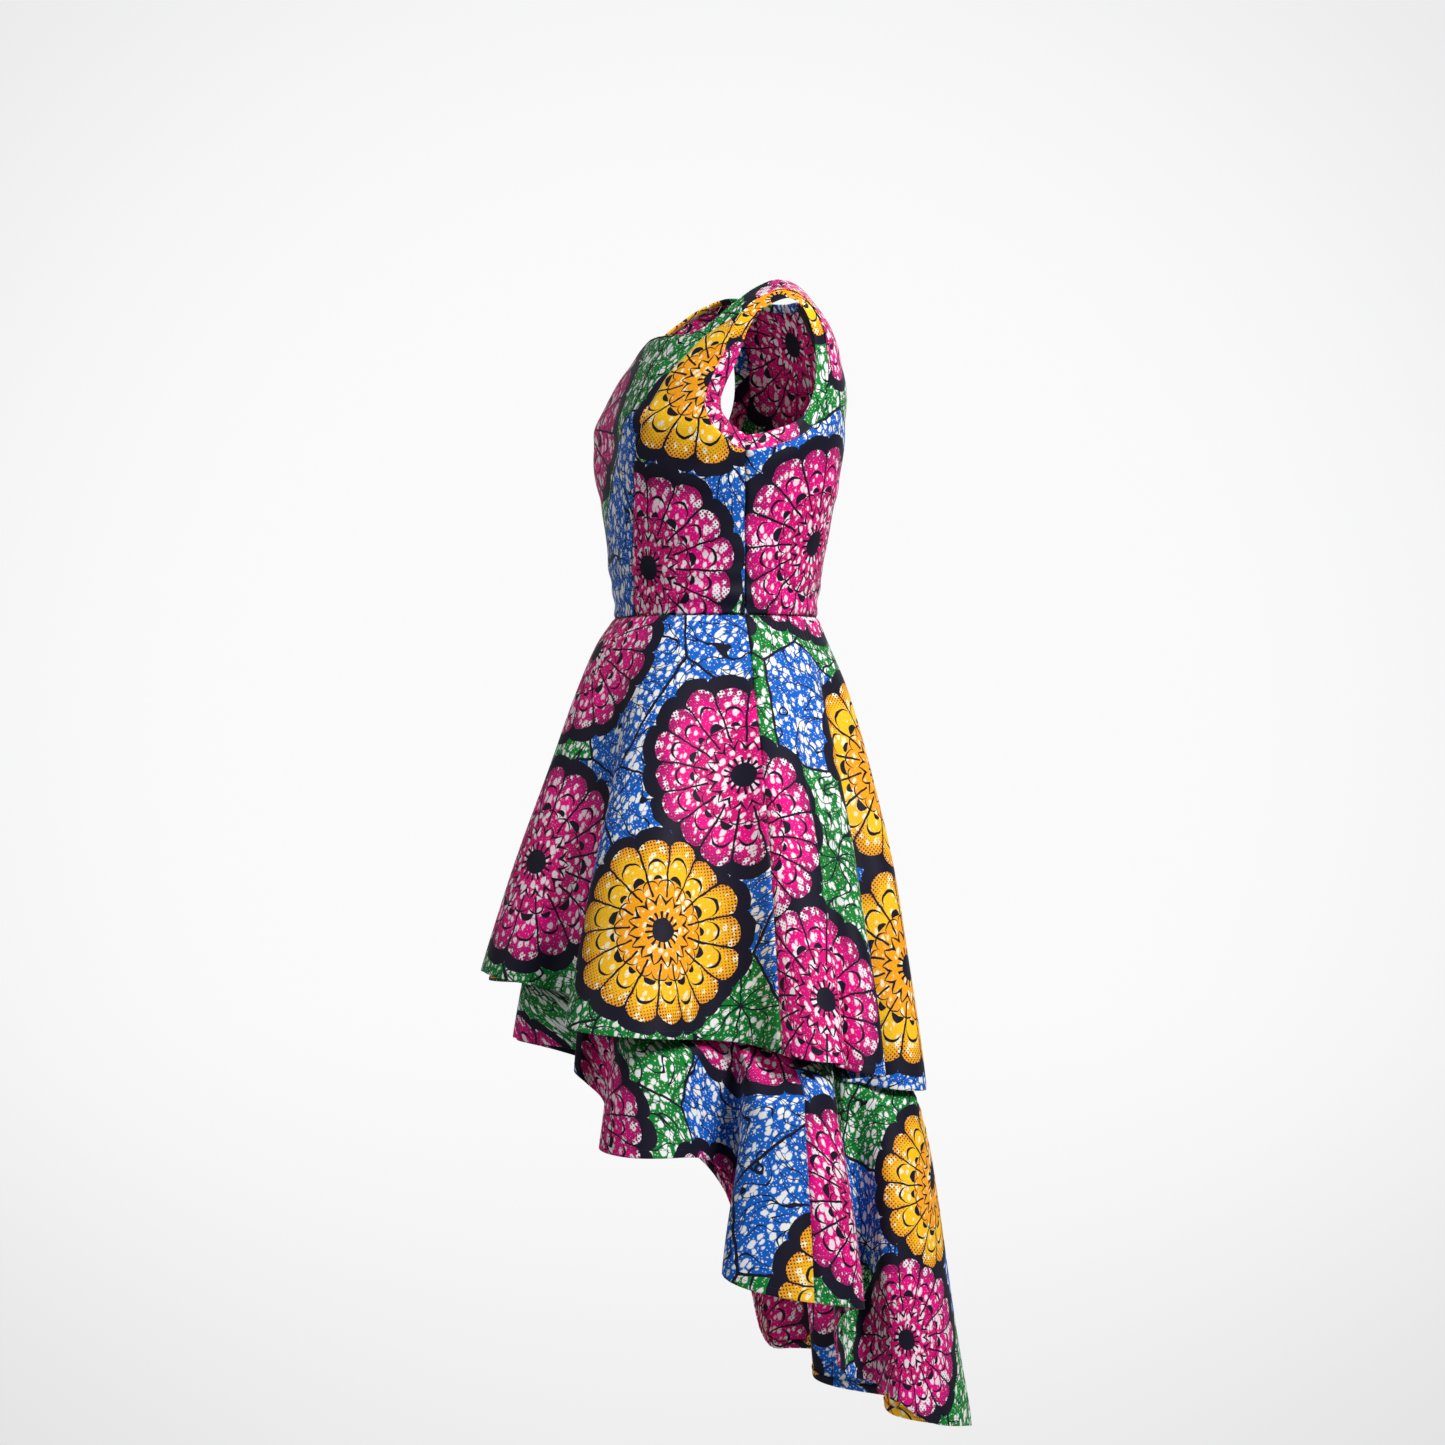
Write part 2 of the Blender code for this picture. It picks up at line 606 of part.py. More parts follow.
def fold_columns(folds, turn):
    """Angle, stand-off share and roll of a tier's folds.

    turn counts crests and hollows. Between two of them the stand-off follows half a cosine, and the
    roll is a sine that swells the crest and the hollow and narrows the neck between them.
    """
    angles = [row[0] for row in folds] + [360 + folds[0][0]]
    shares = np.array([row[1] for row in folds] + [folds[0][1]])
    rolls = np.array([row[2] for row in folds] + [folds[0][2]])
    swells = np.array([row[3] if len(row) > 3 else 0.0 for row in folds])
    turn = np.mod(turn, len(folds))
    row = np.minimum(turn.astype(int), len(folds) - 1)
    part = turn - row
    wide = [angles[-2] - 360] + angles + [360 + angles[1]]
    angle = curve_through(turn, np.arange(-1, len(folds) + 2), wide)
    blend = (1 - np.cos(math.pi * part)) / 2
    from_crest = np.sign(shares[row] - shares[row + 1])
    share = shares[row] * (1 - blend) + shares[row + 1] * blend
    roll = (rolls[row] * (1 - part) + rolls[row + 1] * part) * np.sin(2 * math.pi * part)
    roll += (CREST_WIDENING * from_crest + swells[row]) * np.sin(math.pi * part) ** 2
    return np.radians(angle), share, roll


def hem_height(hem, angle):
    """Height of a hem at an angle."""
    return curve_through(np.mod(np.degrees(angle), 360), hem["angle"], hem["z"])


def upper_surface(turn, drop):
    """Point of the upper tier: turn counts its crests and hollows, drop is 0 at the waist, 1 at the hem."""
    angle, share, roll = fold_columns(UPPER_FOLDS, turn)
    depth = (WAIST_Z - hem_height(UPPER_HEM, angle)) * drop
    grown = (np.maximum(depth, 0) / UPPER_FOLD_AT) ** UPPER_FOLD_GROWTH
    middle = np.linalg.norm(tier_ring(UPPER_RINGS, angle, depth)[0], axis=-1)
    point, out = tier_ring(UPPER_RINGS, angle + roll * grown / middle, depth)
    point = point + out * (UPPER_FOLD_DEPTH * grown * share)[..., None]
    return np.stack([point[..., 0], point[..., 1] - SHOULDER_TO_AXIS, WAIST_Z - depth], axis=-1)


class UpperRoom:
    """The least distance of the upper tier from the axis, by direction and depth.

    It is read from a fine grid of the tier, and it is what the lower tier stays inside.
    """

    def __init__(self):
        turn = np.linspace(0, len(UPPER_FOLDS), 4 * ROOM_BINS, endpoint=False)
        angle = fold_columns(UPPER_FOLDS, turn)[0]
        reach = WAIST_Z - hem_height(UPPER_HEM, angle)
        self.rows = np.stack([self.least(turn, depth, reach) for depth in ROOM_DEPTHS])
        directions = np.radians(np.arange(ROOM_BINS) * 360 / ROOM_BINS - 180)
        self.hem = WAIST_Z - hem_height(UPPER_HEM, directions)

    def least(self, turn, depth, reach):
        """Least distance in each of the directions at one depth, eased over a few degrees."""
        place = upper_surface(turn, depth / reach)
        x = place[:, 0]
        y = place[:, 1] + SHOULDER_TO_AXIS
        direction = np.degrees(np.arctan2(x, -y)) + 180
        bins = np.floor(direction / 360 * ROOM_BINS).astype(int) % ROOM_BINS
        least = np.full(ROOM_BINS, np.inf)
        np.minimum.at(least, bins, np.hypot(x, y))
        wide = range(-ROOM_REACH, ROOM_REACH + 1)
        least = np.min([np.roll(least, shift) for shift in wide], axis=0)
        narrow = range(1 - ROOM_REACH, ROOM_REACH)
        return np.mean([np.roll(least, shift) for shift in narrow], axis=0)

    def at(self, direction, depth):
        """The room in a direction at a depth: past the hem it widens by a fixed slope."""
        column = (np.degrees(direction) + 180) / 360 * ROOM_BINS
        low = np.floor(column).astype(int)
        part = column - low
        low = low % ROOM_BINS
        high = (low + 1) % ROOM_BINS
        hem = self.hem[low] * (1 - part) + self.hem[high] * part
        held = np.minimum(depth, hem)
        row = np.clip(held / ROOM_DEPTHS[-1] * (len(ROOM_DEPTHS) - 1), 0, len(ROOM_DEPTHS) - 1.001)
        top = row.astype(int)
        down = row - top
        upper = self.rows[top, low] * (1 - part) + self.rows[top, high] * part
        lower = self.rows[top + 1, low] * (1 - part) + self.rows[top + 1, high] * part
        return upper * (1 - down) + lower * down + TIER_FREE_SLOPE * np.maximum(depth - hem, 0)


UPPER_ROOM = UpperRoom()


def lower_surface(turn, drop):
    """Point of the lower tier, kept inside the room that the upper tier leaves.

    turn counts its crests and hollows. drop is 0 at the waist, 1 just under the upper tier's hem and
    2 at its own hem.
    """
    angle, share, roll = fold_columns(LOWER_FOLDS, turn)
    covered = WAIST_Z - hem_height(UPPER_HEM, angle) + UPPER_HEM_PASS
    bare = WAIST_Z - hem_height(LOWER_HEM, angle) - covered
    depth = covered * np.minimum(drop, 1) + bare * np.maximum(drop - 1, 0)
    fold_depth = curve_through(depth, LOWER_RINGS["depth"], LOWER_RINGS["fold"])
    rolled = smooth_step(depth, LOWER_ROLL_FROM, LOWER_ROLL_TO)
    middle = np.linalg.norm(tier_ring(LOWER_RINGS, angle, depth)[0], axis=-1)
    point, out = tier_ring(LOWER_RINGS, angle + roll * rolled / middle, depth)
    point = point + out * (fold_depth * share)[..., None]
    distance = np.linalg.norm(point, axis=-1)
    direction = np.arctan2(point[..., 0], -point[..., 1])
    room = UPPER_ROOM.at(direction, depth) - curve_through(depth, TIER_ROOM["depth"], TIER_ROOM["gap"])
    least = np.minimum(distance, room)
    eased = least - TIER_BLEND * np.log1p(np.exp(-np.abs(distance - room) / TIER_BLEND))
    at_waist = 1 - smooth_step(depth, 0.0, WAIST_BLEND_DEPTH)
    kept = room * at_waist + eased * (1 - at_waist)
    point = point * (kept / distance)[..., None]
    return np.stack([point[..., 0], point[..., 1] - SHOULDER_TO_AXIS, WAIST_Z - depth], axis=-1)


def turn_at(folds, degrees):
    """The turn at which a tier's fold table reaches an angle."""
    turn = np.linspace(0, len(folds), 3601)[:-1]
    angle = np.degrees(fold_columns(folds, turn)[0])
    return float(np.interp(degrees, angle, turn))


def panel_turns(folds, start, end):
    """Turns of a panel's columns from one seam to another, with the crests and hollows kept."""
    step = 1 / STEPS_PER_HALF_FOLD
    inside = np.arange(math.ceil(start / step), math.floor(end / step) + 1) * step
    keep = (inside > start + 0.4 * step) & (inside < end - 0.4 * step)
    return np.concatenate([[start], inside[keep], [end]])


def tier_sheet(surface, turns, drops, slit=None):
    """Points, normals and quads of a tier panel, whose centre back edge may stand back from the zip."""
    turn, drop = np.meshgrid(turns, drops)
    if slit is not None:
        turn = slit(turn, drop)
    points = surface(turn, drop)
    step = TIER_NORMAL_STEP
    along = surface(turn + step, drop) - surface(turn - step, drop)
    lowest = drops[-1]
    down = surface(turn, np.minimum(drop + step, lowest)) - surface(turn, np.maximum(drop - step, 0))
    normals = np.cross(down, along)
    normals /= np.linalg.norm(normals, axis=-1, keepdims=True)
    quads = grid_quads(len(drops), len(turns))[:, ::-1]
    return points.reshape(-1, 3), normals.reshape(-1, 3), quads


def cloth_per_turn(surface, turn, drop):
    """Length of cloth that one unit of turn takes, at a place on a tier."""
    step = TIER_NORMAL_STEP
    return np.linalg.norm(surface(turn + step, drop) - surface(turn - step, drop), axis=-1) / (2 * step)


def zip_slit(side):
    """Stands the lower tier's centre back edge back from the zip, and lets it close under the zip's end."""
    centre = turn_at(LOWER_FOLDS, 180)

    def shift(turn, drop):
        depth = (WAIST_Z - BACK_HEM_Z + UPPER_HEM_PASS) * drop
        closed_by = ZIP_DEPTH_UNDER_WAIST + ZIP_SLIT_CLOSE
        open_to = 1 - smooth_step(depth, ZIP_DEPTH_UNDER_WAIST + ZIP_SLIT_EASE, closed_by)
        width = (ZIP_HALF_WIDTH + ZIP_SLIT_EDGE) * open_to
        away = width / cloth_per_turn(lower_surface, np.full_like(drop, centre), drop)
        near = np.clip(1 - np.abs(turn - centre), 0, 1)
        return turn - side * away * near

    return shift


def make_tier(word, folds, sides, surface, rows, colours, with_slit=False):
    """Front panel and two back panels of a tier."""
    drops = np.array(rows)
    left = turn_at(folds, sides[0])
    back = turn_at(folds, 180)
    right = turn_at(folds, sides[1])
    full = len(folds)
    front_turns = panel_turns(folds, right - full, left)
    wall(word + "_front", *tier_sheet(surface, front_turns, drops), colours[0])
    for name, start, end, side, colour in (
        ("_back_left", left, back, 1, colours[1]),
        ("_back_right", back, right, -1, colours[2]),
    ):
        slit = zip_slit(side) if with_slit else None
        turns = panel_turns(folds, start, end)
        wall(word + name, *tier_sheet(surface, turns, drops, slit), colour)


def back_line(heights, sideways):
    """Outer face of the dress at the back, at some heights and one small distance sideways."""
    angle = angle_at(sideways, heights, True) * np.sign(sideways)
    bodice = bodice_surface(angle, lift_at(sideways, heights, True), True)
    reach = WAIST_Z - BACK_HEM_Z
    drop = np.clip((WAIST_Z - heights) / reach, 0, 1)
    centre = np.full_like(drop, turn_at(UPPER_FOLDS, 180))
    turn = centre - sideways / cloth_per_turn(upper_surface, centre, drop)
    return np.where((heights >= WAIST_Z)[:, None], bodice, upper_surface(turn, drop))


def centre_back_line(heights):
    """The centre back line and its outward normal, at some heights."""
    line = back_line(heights, 0.0)
    slope = np.gradient(line, axis=0)
    out = np.stack([np.zeros(len(line)), -slope[:, 2], slope[:, 1]], axis=1)
    out *= np.sign(out[:, 1:2])
    return line, out / np.linalg.norm(out, axis=1, keepdims=True)


def make_zip_tape(navy):
    """Closed zip tape inside the centre back seam."""
    top = float(lift_at(0.0, np.float64(NECK_BACK_LOW[0][1]), True))
    lifts = top * even(BODICE_ROWS)[:0:-1]
    bodice = bodice_surface(np.zeros(BODICE_ROWS), lifts, True)[:, 2]
    bodice[0] -= ZIP_TOP_DROP
    skirt = WAIST_Z - (WAIST_Z - BACK_HEM_Z) * np.array(UPPER_ROWS[: ZIP_END_ROW + 1])
    heights = np.concatenate([bodice, skirt])
    out = centre_back_line(heights)[1]
    sheet = [
        back_line(heights, share * ZIP_HALF_WIDTH) - out * ZIP_EDGE_DROP * abs(share)
        for share in (-1, 0, 1)
    ]
    points = np.stack(sheet, axis=1).reshape(-1, 3)
    normals = np.repeat(out, 3, axis=0)
    quads = grid_quads(len(heights), 3)
    depth = CLOTH + FACING_GAP
    wall("zip_tape", points, normals, quads, navy, thickness=ZIP_TAPE_THICKNESS, depth=depth)


def slider_frame():
    """Place and directions of the zip slider: on the centre back, along the cloth."""
    heights = np.linspace(SLIDER_Z - 0.006, SLIDER_Z + 0.006, 5)
    line, out = centre_back_line(heights)
    up = line[3] - line[1]
    return line[2], out[2], up / np.linalg.norm(up)


def prism(name, outline, half_length, centre, axes, material):
    """Closed prism: an outline in the first two axes, carried both ways along the third."""
    first, second, third = axes
    flat = np.array([centre + u * first + v * second for u, v in outline])
    count = len(flat)
    verts = np.concatenate([flat - third * half_length, flat + third * half_length])
    sides = [(i, (i + 1) % count, (i + 1) % count + count, i + count) for i in range(count)]
    faces = [tuple(reversed(range(count)))] + [tuple(range(count, 2 * count))] + sides
    return add_object(name, verts, faces, material)


def make_slider(metal):
    """Zip slider: a channel with two cheeks, on the outside of the centre back."""
    place, out, _ = slider_frame()
    half = SLIDER_WIDTH / 2
    inner = half - SLIDER_CHEEK
    outline = [
        (-half, 0.0),
        (half, 0.0),
        (half, SLIDER_HEIGHT),
        (inner, SLIDER_HEIGHT),
        (inner, SLIDER_BASE),
        (-inner, SLIDER_BASE),
        (-inner, SLIDER_HEIGHT),
        (-half, SLIDER_HEIGHT),
    ]
    centre = place + out * SLIDER_LIFT
    across = np.array([1.0, 0.0, 0.0])
    prism("zip_slider", outline, SLIDER_LENGTH / 2, centre, (across, out, np.cross(across, out)), metal)


def make_pull(metal):
    """Pull tab: a round head between the slider's cheeks, and a leaf that widens and ends round.

    Its origin is on the line through the head that it turns about.
    """
    place, out, up = slider_frame()
    across = np.array([1.0, 0.0, 0.0])
    pivot = place + out * (SLIDER_LIFT + SLIDER_BASE + SEAM_GAP + PULL_HEAD)
    neck = SLIDER_WIDTH / 2 - SLIDER_CHEEK - SEAM_GAP
    reach = SLIDER_LENGTH / 2 + 0.0012
    ways = np.concatenate([np.linspace(-PULL_HEAD, PULL_HEAD, 5), [reach, reach + 0.003, reach + 0.009]])
    tail = np.linspace(0.3, 1.0, 5) * math.pi / 2
    round_start = PULL_LENGTH - PULL_WIDTH / 2
    ways = np.concatenate([ways, round_start + PULL_WIDTH / 2 * np.sin(tail[:-1])])
    half_wide = np.concatenate([np.full(6, neck), [PULL_WIDTH / 2 * 0.85, PULL_WIDTH / 2]])
    half_wide = np.concatenate([half_wide, PULL_WIDTH / 2 * np.cos(tail[:-1])])
    head = np.sqrt(np.maximum(PULL_HEAD**2 - ways**2, 0))
    half_thick = np.maximum(np.where(ways < PULL_HEAD, head, 0), PULL_THICKNESS / 2)
    half_thick[0] = PULL_THICKNESS / 4
    rows = []
    for way, wide, thick in zip(ways, half_wide, half_thick):
        middle = -up * way
        corners = ((-wide, -thick), (wide, -thick), (wide, thick), (-wide, thick))
        rows.append([middle + across * u + out * v for u, v in corners])
    verts = np.array(rows).reshape(-1, 3)
    quads = grid_quads(len(rows), 4, wrap=True)
    last = 4 * (len(rows) - 1)
    faces = [tuple(q[::-1]) for q in quads] + [(0, 1, 2, 3), (last + 3, last + 2, last + 1, last)]
    pull = add_object("zip_pull", verts, faces, metal)
    pull.location = pivot


def main():
    clear_scene()
    green = cloth_material("wax_print_cotton_green", PRINT_GREEN)
    blue = cloth_material("wax_print_cotton_blue", PRINT_BLUE)
    magenta = cloth_material("wax_print_cotton_magenta", PRINT_MAGENTA)
    yellow = cloth_material("wax_print_cotton_yellow", PRINT_YELLOW)
    navy = cloth_material("woven_zip_tape_navy", ZIP_NAVY)
    metal = cloth_material("painted_zinc_zip", ZIP_METAL, roughness=0.35, metallic=0.6)
    make_bodice(green, blue, magenta)
    make_facings(yellow)
    tier = (UPPER_FOLDS, UPPER_SIDES, upper_surface, UPPER_ROWS)
    make_tier("upper", *tier, (magenta, blue, green))
    tier = (LOWER_FOLDS, LOWER_SIDES, lower_surface, LOWER_ROWS)
    make_tier("lower", *tier, (green, yellow, blue), with_slit=True)
    make_zip_tape(navy)
    make_slider(metal)
    make_pull(metal)


main()
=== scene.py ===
"""Looks of a sleeveless two-tier dress in wax-print cotton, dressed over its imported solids.

Every cut piece is a thin sheet worked out from the same named sizes as its solid, on a finer grid,
with the seams rolled in, the hems turned up and the soft unevenness of worn cotton. The print is
worked out in each piece's flat pattern, in metres, so that it breaks at the seams as cut cloth does.
"""

import math

import bpy
import numpy as np
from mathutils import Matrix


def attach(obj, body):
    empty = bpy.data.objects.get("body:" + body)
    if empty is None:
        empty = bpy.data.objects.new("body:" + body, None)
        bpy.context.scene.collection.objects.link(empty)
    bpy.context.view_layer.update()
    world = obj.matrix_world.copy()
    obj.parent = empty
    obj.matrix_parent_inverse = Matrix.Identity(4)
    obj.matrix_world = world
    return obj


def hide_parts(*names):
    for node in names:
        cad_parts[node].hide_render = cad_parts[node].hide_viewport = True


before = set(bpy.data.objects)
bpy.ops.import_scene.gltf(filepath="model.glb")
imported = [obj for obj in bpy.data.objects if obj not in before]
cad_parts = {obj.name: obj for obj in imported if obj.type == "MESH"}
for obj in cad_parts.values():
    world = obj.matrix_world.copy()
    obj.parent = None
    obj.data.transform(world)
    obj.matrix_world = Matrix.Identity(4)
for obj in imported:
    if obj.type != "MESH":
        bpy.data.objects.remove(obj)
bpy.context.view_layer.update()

# Lengths are in metres and angles in degrees, unless a name or a comment says otherwise.

# Camera and room. The azimuth runs from the front towards the wearer's left.
CAMERA_AZIMUTH = 72.0
CAMERA_DISTANCE = 3.6
CAMERA_HEIGHT = -0.477
SENSOR_MILLIMETRES = 36.0
FRAME_WIDTH_AT_AXIS = 1.5895
IMAGE_PIXELS = 1445
AXIS_PIXEL = 713
FLOOR_Z = -1.46
FLOOR_RADIUS = 0.52
FLOOR_CORNERS = 96
# The white surround's strength is a product of soft steps. Each runs along the view or upwards, between two
# cosines of the direction, and has a strength before and after.
SURROUND_STEPS = [
    ("along_view", 0.50, 0.94, 0.15, 1.0),
    ("along_view", 0.945, 0.992, 0.84, 0.985),
    ("upwards", -0.22, -0.08, 0.93, 1.0),
]
# Each light's place to the picture's left, towards the camera and up from the shoulders, its size, its watts
SOFTBOXES = [
    ("key_softbox", -1.9, 2.3, 1.5, 1.1, 148),
    ("fill_softbox", 2.6, 1.2, 0.6, 1.4, 24),
    ("back_softbox", -1.2, -2.2, 1.4, 1.4, 22),
]
LIGHTS_AIM_Z = -0.55

# Cloth and thread
SHEET = 0.0006
FACING_SHEET = 0.0005
SEAM_GAP = 0.00012
SEAM_ROLL = 0.0011
SEAM_ROLL_REACH = 0.0016
HEM_DEPTH = 0.009
HEM_STITCH_UP = 0.0075
STITCH_PITCH = 0.0040
STITCH_LENGTH = 0.0031
STITCH_RADIUS = 0.00022
STITCH_LIFT = 0.0001
COIL_PITCH = 0.0013
COIL_HALF_WIDTH = 0.0022
COIL_RADIUS = 0.00045

# Fineness of the grids: steps to one of the solids' own, columns a fold and rows of a tier, points of an edge
DETAIL = 7
TIER_COLUMNS = 20
TIER_ROWS = 110
LOWER_BARE_ROWS = 59
ARMHOLE_POINTS = 110
NECK_POINTS = 90
EDGE_EASING = 8

# The turned-up hem's rows, from outside to inside: how far past the hem line, and how deep
HEM_TURN = [
    (0.0006, 0.0002), (0.0009, 0.0007), (0.0008, 0.0012), (0.0003, 0.0016), (-0.0020, 0.0018),
    (-0.0060, 0.0019), (-HEM_DEPTH, 0.0020),
]
# Profiles of the facing and of the turned edge: how far into the cloth from its edge, and how deep
ARMHOLE_FACING = [
    (-0.0006, 0.0004), (-0.0010, 0.0010), (-0.0009, 0.0016), (-0.0003, 0.0021), (0.0030, 0.0030),
    (0.0075, 0.0038), (0.0115, 0.0050), (0.0146, 0.0063), (0.0150, 0.0068),
]
NECK_TURN = [
    (0.0006, 0.00005), (0.0001, 0.0001), (-0.0003, 0.0004), (-0.0004, 0.0009), (-0.0002, 0.0014),
    (0.0006, 0.0017), (0.0040, 0.0019), (0.0085, 0.0021), (0.0100, 0.0022),
]

# Creases. A wave has its two rates in radians a metre, its phase, its bend and its height.
BODICE_WAVES = [(38, 120, 0.4, 0.6, 0.0006), (-55, 70, 1.9, 0.8, 0.0005)]
WAIST_RINGS_Z = -0.345
WAIST_RINGS_REACH = 0.030
WAIST_RINGS_HEIGHT = 0.0011
UNDERARM_X = 0.150
UNDERARM_Z = -0.175
UNDERARM_REACH = (0.030, 0.035)
UNDERARM_HEIGHT = 0.0012
FLUTES_GROW = (0.02, 0.45)
PUCKER_HEIGHT = 0.0006
PUCKER_REACH = 0.018
UPPER_SEED = 0.7
LOWER_SEED = 1.9

# Shape of the dress, as its solids have it
WAIST_Z = -0.362
SHOULDER_TO_AXIS = 0.042
RIDGE_Z_AT_NECK = 0.001
RIDGE_X_AT_NECK = 0.085
RIDGE_SLOPE = -0.42
RIDGE_ROUND = 0.040
FRONT_CHEST_Z = -0.160
BACK_CHEST_Z = -0.130
FRONT_ARCH_POWER = 1.5
BACK_ARCH_POWER = 2.0
CUP_RISE = 0.009
CUP_X = 0.078
CUP_Z = -0.175
CUP_WIDTH = 0.045
CUP_HEIGHT = 0.055
BODICE_RINGS = {
    "z": [-0.362, -0.320, -0.264, -0.210, -0.172, -0.130],
    "half_width": [0.122, 0.126, 0.136, 0.149, 0.157, 0.158],
    "front": [0.1064, 0.1105, 0.1145, 0.1160, 0.1155, 0.1150],
    "back": [0.1142, 0.1160, 0.1235, 0.1305, 0.1335, 0.1345],
    "side_y": [-0.004, -0.005, -0.008, -0.012, -0.014, -0.014],
    "front_power": [2.00, 2.10, 2.20, 2.28, 2.30, 2.30],
    "back_power": [2.00, 2.15, 2.40, 2.60, 2.75, 2.80],
}
NECK_FRONT_LOW = [
    (0.000, -0.0570), (0.030, -0.0577), (0.060, -0.0600), (0.080, -0.0610), (0.0925, -0.0580),
    (0.0985, -0.0500),
]
NECK_FRONT_SIDE = [(0.0985, -0.0500), (0.1000, -0.0427), (0.0995, -0.0279), (0.0950, -0.0138)]
NECK_BACK_LOW = [(0.000, -0.0110), (0.030, -0.0100), (0.058, -0.0065)]
NECK_BACK_SIDE = [(0.058, -0.0065), (0.074, -0.0020)]
PRINCESS = [
    (0.035, -0.362), (0.050, -0.277), (0.072, -0.211), (0.088, -0.167),
    (0.094, -0.129), (0.098, -0.099), (0.108, -0.068), (0.1245, -0.040),
]
ARMHOLE_FRONT = [
    (0.1245, -0.040), (0.1323, -0.057), (0.1392, -0.0735), (0.1437, -0.095), (0.1443, -0.116),
    (0.1450, -0.130), (0.1475, -0.147), (0.1514, -0.163), (0.1550, -0.181),
]
ARMHOLE_FRONT_STRAP = [(0.1245, -0.040), (0.1195, -0.0270)]
ARMHOLE_BACK = [
    (0.126, -0.036), (0.130, -0.057), (0.133, -0.082), (0.136, -0.108),
    (0.1405, -0.137), (0.148, -0.165), (0.1545, -0.1835),
]
ARMHOLE_BACK_STRAP = [(0.126, -0.036), (0.1215, -0.0220)]
ARMHOLE_LOW_Z = -0.190
STRAP_IN_X = 0.086
STRAP_OUT_X = 0.119
BODICE_ROWS = 13 * DETAIL
FRONT_NECK_COLUMNS = 4 * DETAIL
FRONT_STRAP_COLUMNS = 3 * DETAIL
FRONT_STRAP_ROWS = 6 * DETAIL
BACK_NECK_COLUMNS = 3 * DETAIL
BACK_STRAP_COLUMNS = 4 * DETAIL
BACK_STRAP_ROWS = 3 * DETAIL
SIDE_COLUMNS = 8 * DETAIL

UPPER_RINGS = {
    "depth": [0.00, 0.03, 0.08, 0.16, 0.25, 0.35, 0.45, 0.54],
    "half_width": [0.1220, 0.1380, 0.1580, 0.1870, 0.2160, 0.2420, 0.2620, 0.2750],
    "front": [0.1064, 0.1280, 0.1480, 0.1720, 0.1990, 0.2240, 0.2430, 0.2580],
    "back": [0.1142, 0.1270, 0.1460, 0.1620, 0.1730, 0.1790, 0.1810, 0.1800],
}
LOWER_RINGS = {
    "depth": [0.00, 0.03, 0.08, 0.16, 0.25, 0.35, 0.45, 0.55, 0.65, 0.75, 0.90],
    "half_width": [
        0.1220, 0.1340, 0.1500, 0.1760, 0.2020, 0.2260, 0.2440, 0.2560, 0.2650, 0.2720, 0.2800,
    ],
    "front": [
        0.1064, 0.1220, 0.1370, 0.1540, 0.1740, 0.1910, 0.2050, 0.2140, 0.2200, 0.2270, 0.2350,
    ],
    "back": [
        0.1142, 0.1230, 0.1390, 0.1550, 0.1660, 0.1740, 0.1790, 0.1870, 0.2000, 0.2140, 0.2330,
    ],
    "fold": [
        0.0000, 0.0016, 0.0052, 0.0115, 0.0190, 0.0280, 0.0370, 0.0430, 0.0470, 0.0500, 0.0550,
    ],
}
# Folds of the tiers, by the angle from the front: a crest or hollow's angle, its share of the fold's depth,
# how far the flanks beside it swell, and, where it has one, how far the flank after it slides sideways
UPPER_FOLDS = [
    (0, 0.88, 0.006), (25, -1.00, 0.012), (47, 1.15, 0.014), (76, -1.05, 0.010), (98, 0.85, 0.008),
    (108, 0.10, 0.000), (118, 0.70, 0.004), (129, -0.80, 0.006), (144, 0.84, 0.008),
    (162, -0.90, 0.006), (180, 0.72, 0.004), (199, -0.90, 0.006), (219, 1.00, 0.010),
    (242, -1.00, 0.010), (265, 1.05, 0.012), (290, -1.00, 0.010), (314, 1.05, 0.012),
    (337, -0.95, 0.010),
]
LOWER_FOLDS = [
    (0, 0.54, 0.004), (20, -0.80, 0.006), (28, 0.10, 0.002, -0.010), (35, -0.40, 0.004, -0.018),
    (51, 0.95, 0.008), (73, -1.05, 0.010, -0.040), (92, 1.00, 0.034, -0.010),
    (124, -0.81, 0.028, -0.042), (145, 0.90, 0.010), (163, -0.79, 0.006), (181, 0.70, 0.004),
    (203, -1.10, 0.004), (221, 0.95, 0.014), (242, -1.00, 0.018), (265, 1.00, 0.018),
    (290, -0.95, 0.012), (314, 0.74, 0.010), (337, -0.85, 0.006),
]
CREST_WIDENING = 0.008
UPPER_FOLD_DEPTH = 0.040
UPPER_FOLD_AT = 0.45
UPPER_FOLD_GROWTH = 1.15
LOWER_ROLL_FROM = 0.38
LOWER_ROLL_TO = 0.72
UPPER_HEM = {
    "angle": [0, 25, 47, 76, 98, 118, 144, 180, 216, 242, 262, 284, 313, 335, 360],
    "z": [
        -0.744, -0.766, -0.794, -0.806, -0.822, -0.842, -0.868, -0.884,
        -0.864, -0.834, -0.806, -0.788, -0.772, -0.752, -0.744,
    ],
}
LOWER_HEM = {
    "angle": [
        0, 16, 27, 33, 38, 50, 60, 68, 74, 80, 86, 92, 99, 108, 114, 119, 124, 130, 136,
        140, 145, 152, 160, 165, 172, 181, 192, 203, 212, 220, 227, 232, 236, 240, 244, 250,
        258, 268, 280, 296, 314, 337, 360,
    ],
    "z": [
        -0.816, -0.824, -0.842, -0.868, -0.912, -0.919, -0.921, -0.929, -0.955, -1.022, -1.043,
        -1.062, -1.075, -1.082, -1.104, -1.146, -1.166, -1.176, -1.186, -1.212, -1.227, -1.238,
        -1.232, -1.226, -1.240, -1.252, -1.240, -1.226, -1.216, -1.218, -1.218, -1.190, -1.105,
        -1.020, -0.988, -0.972, -0.950, -0.922, -0.892, -0.866, -0.840, -0.822, -0.816,
    ],
}
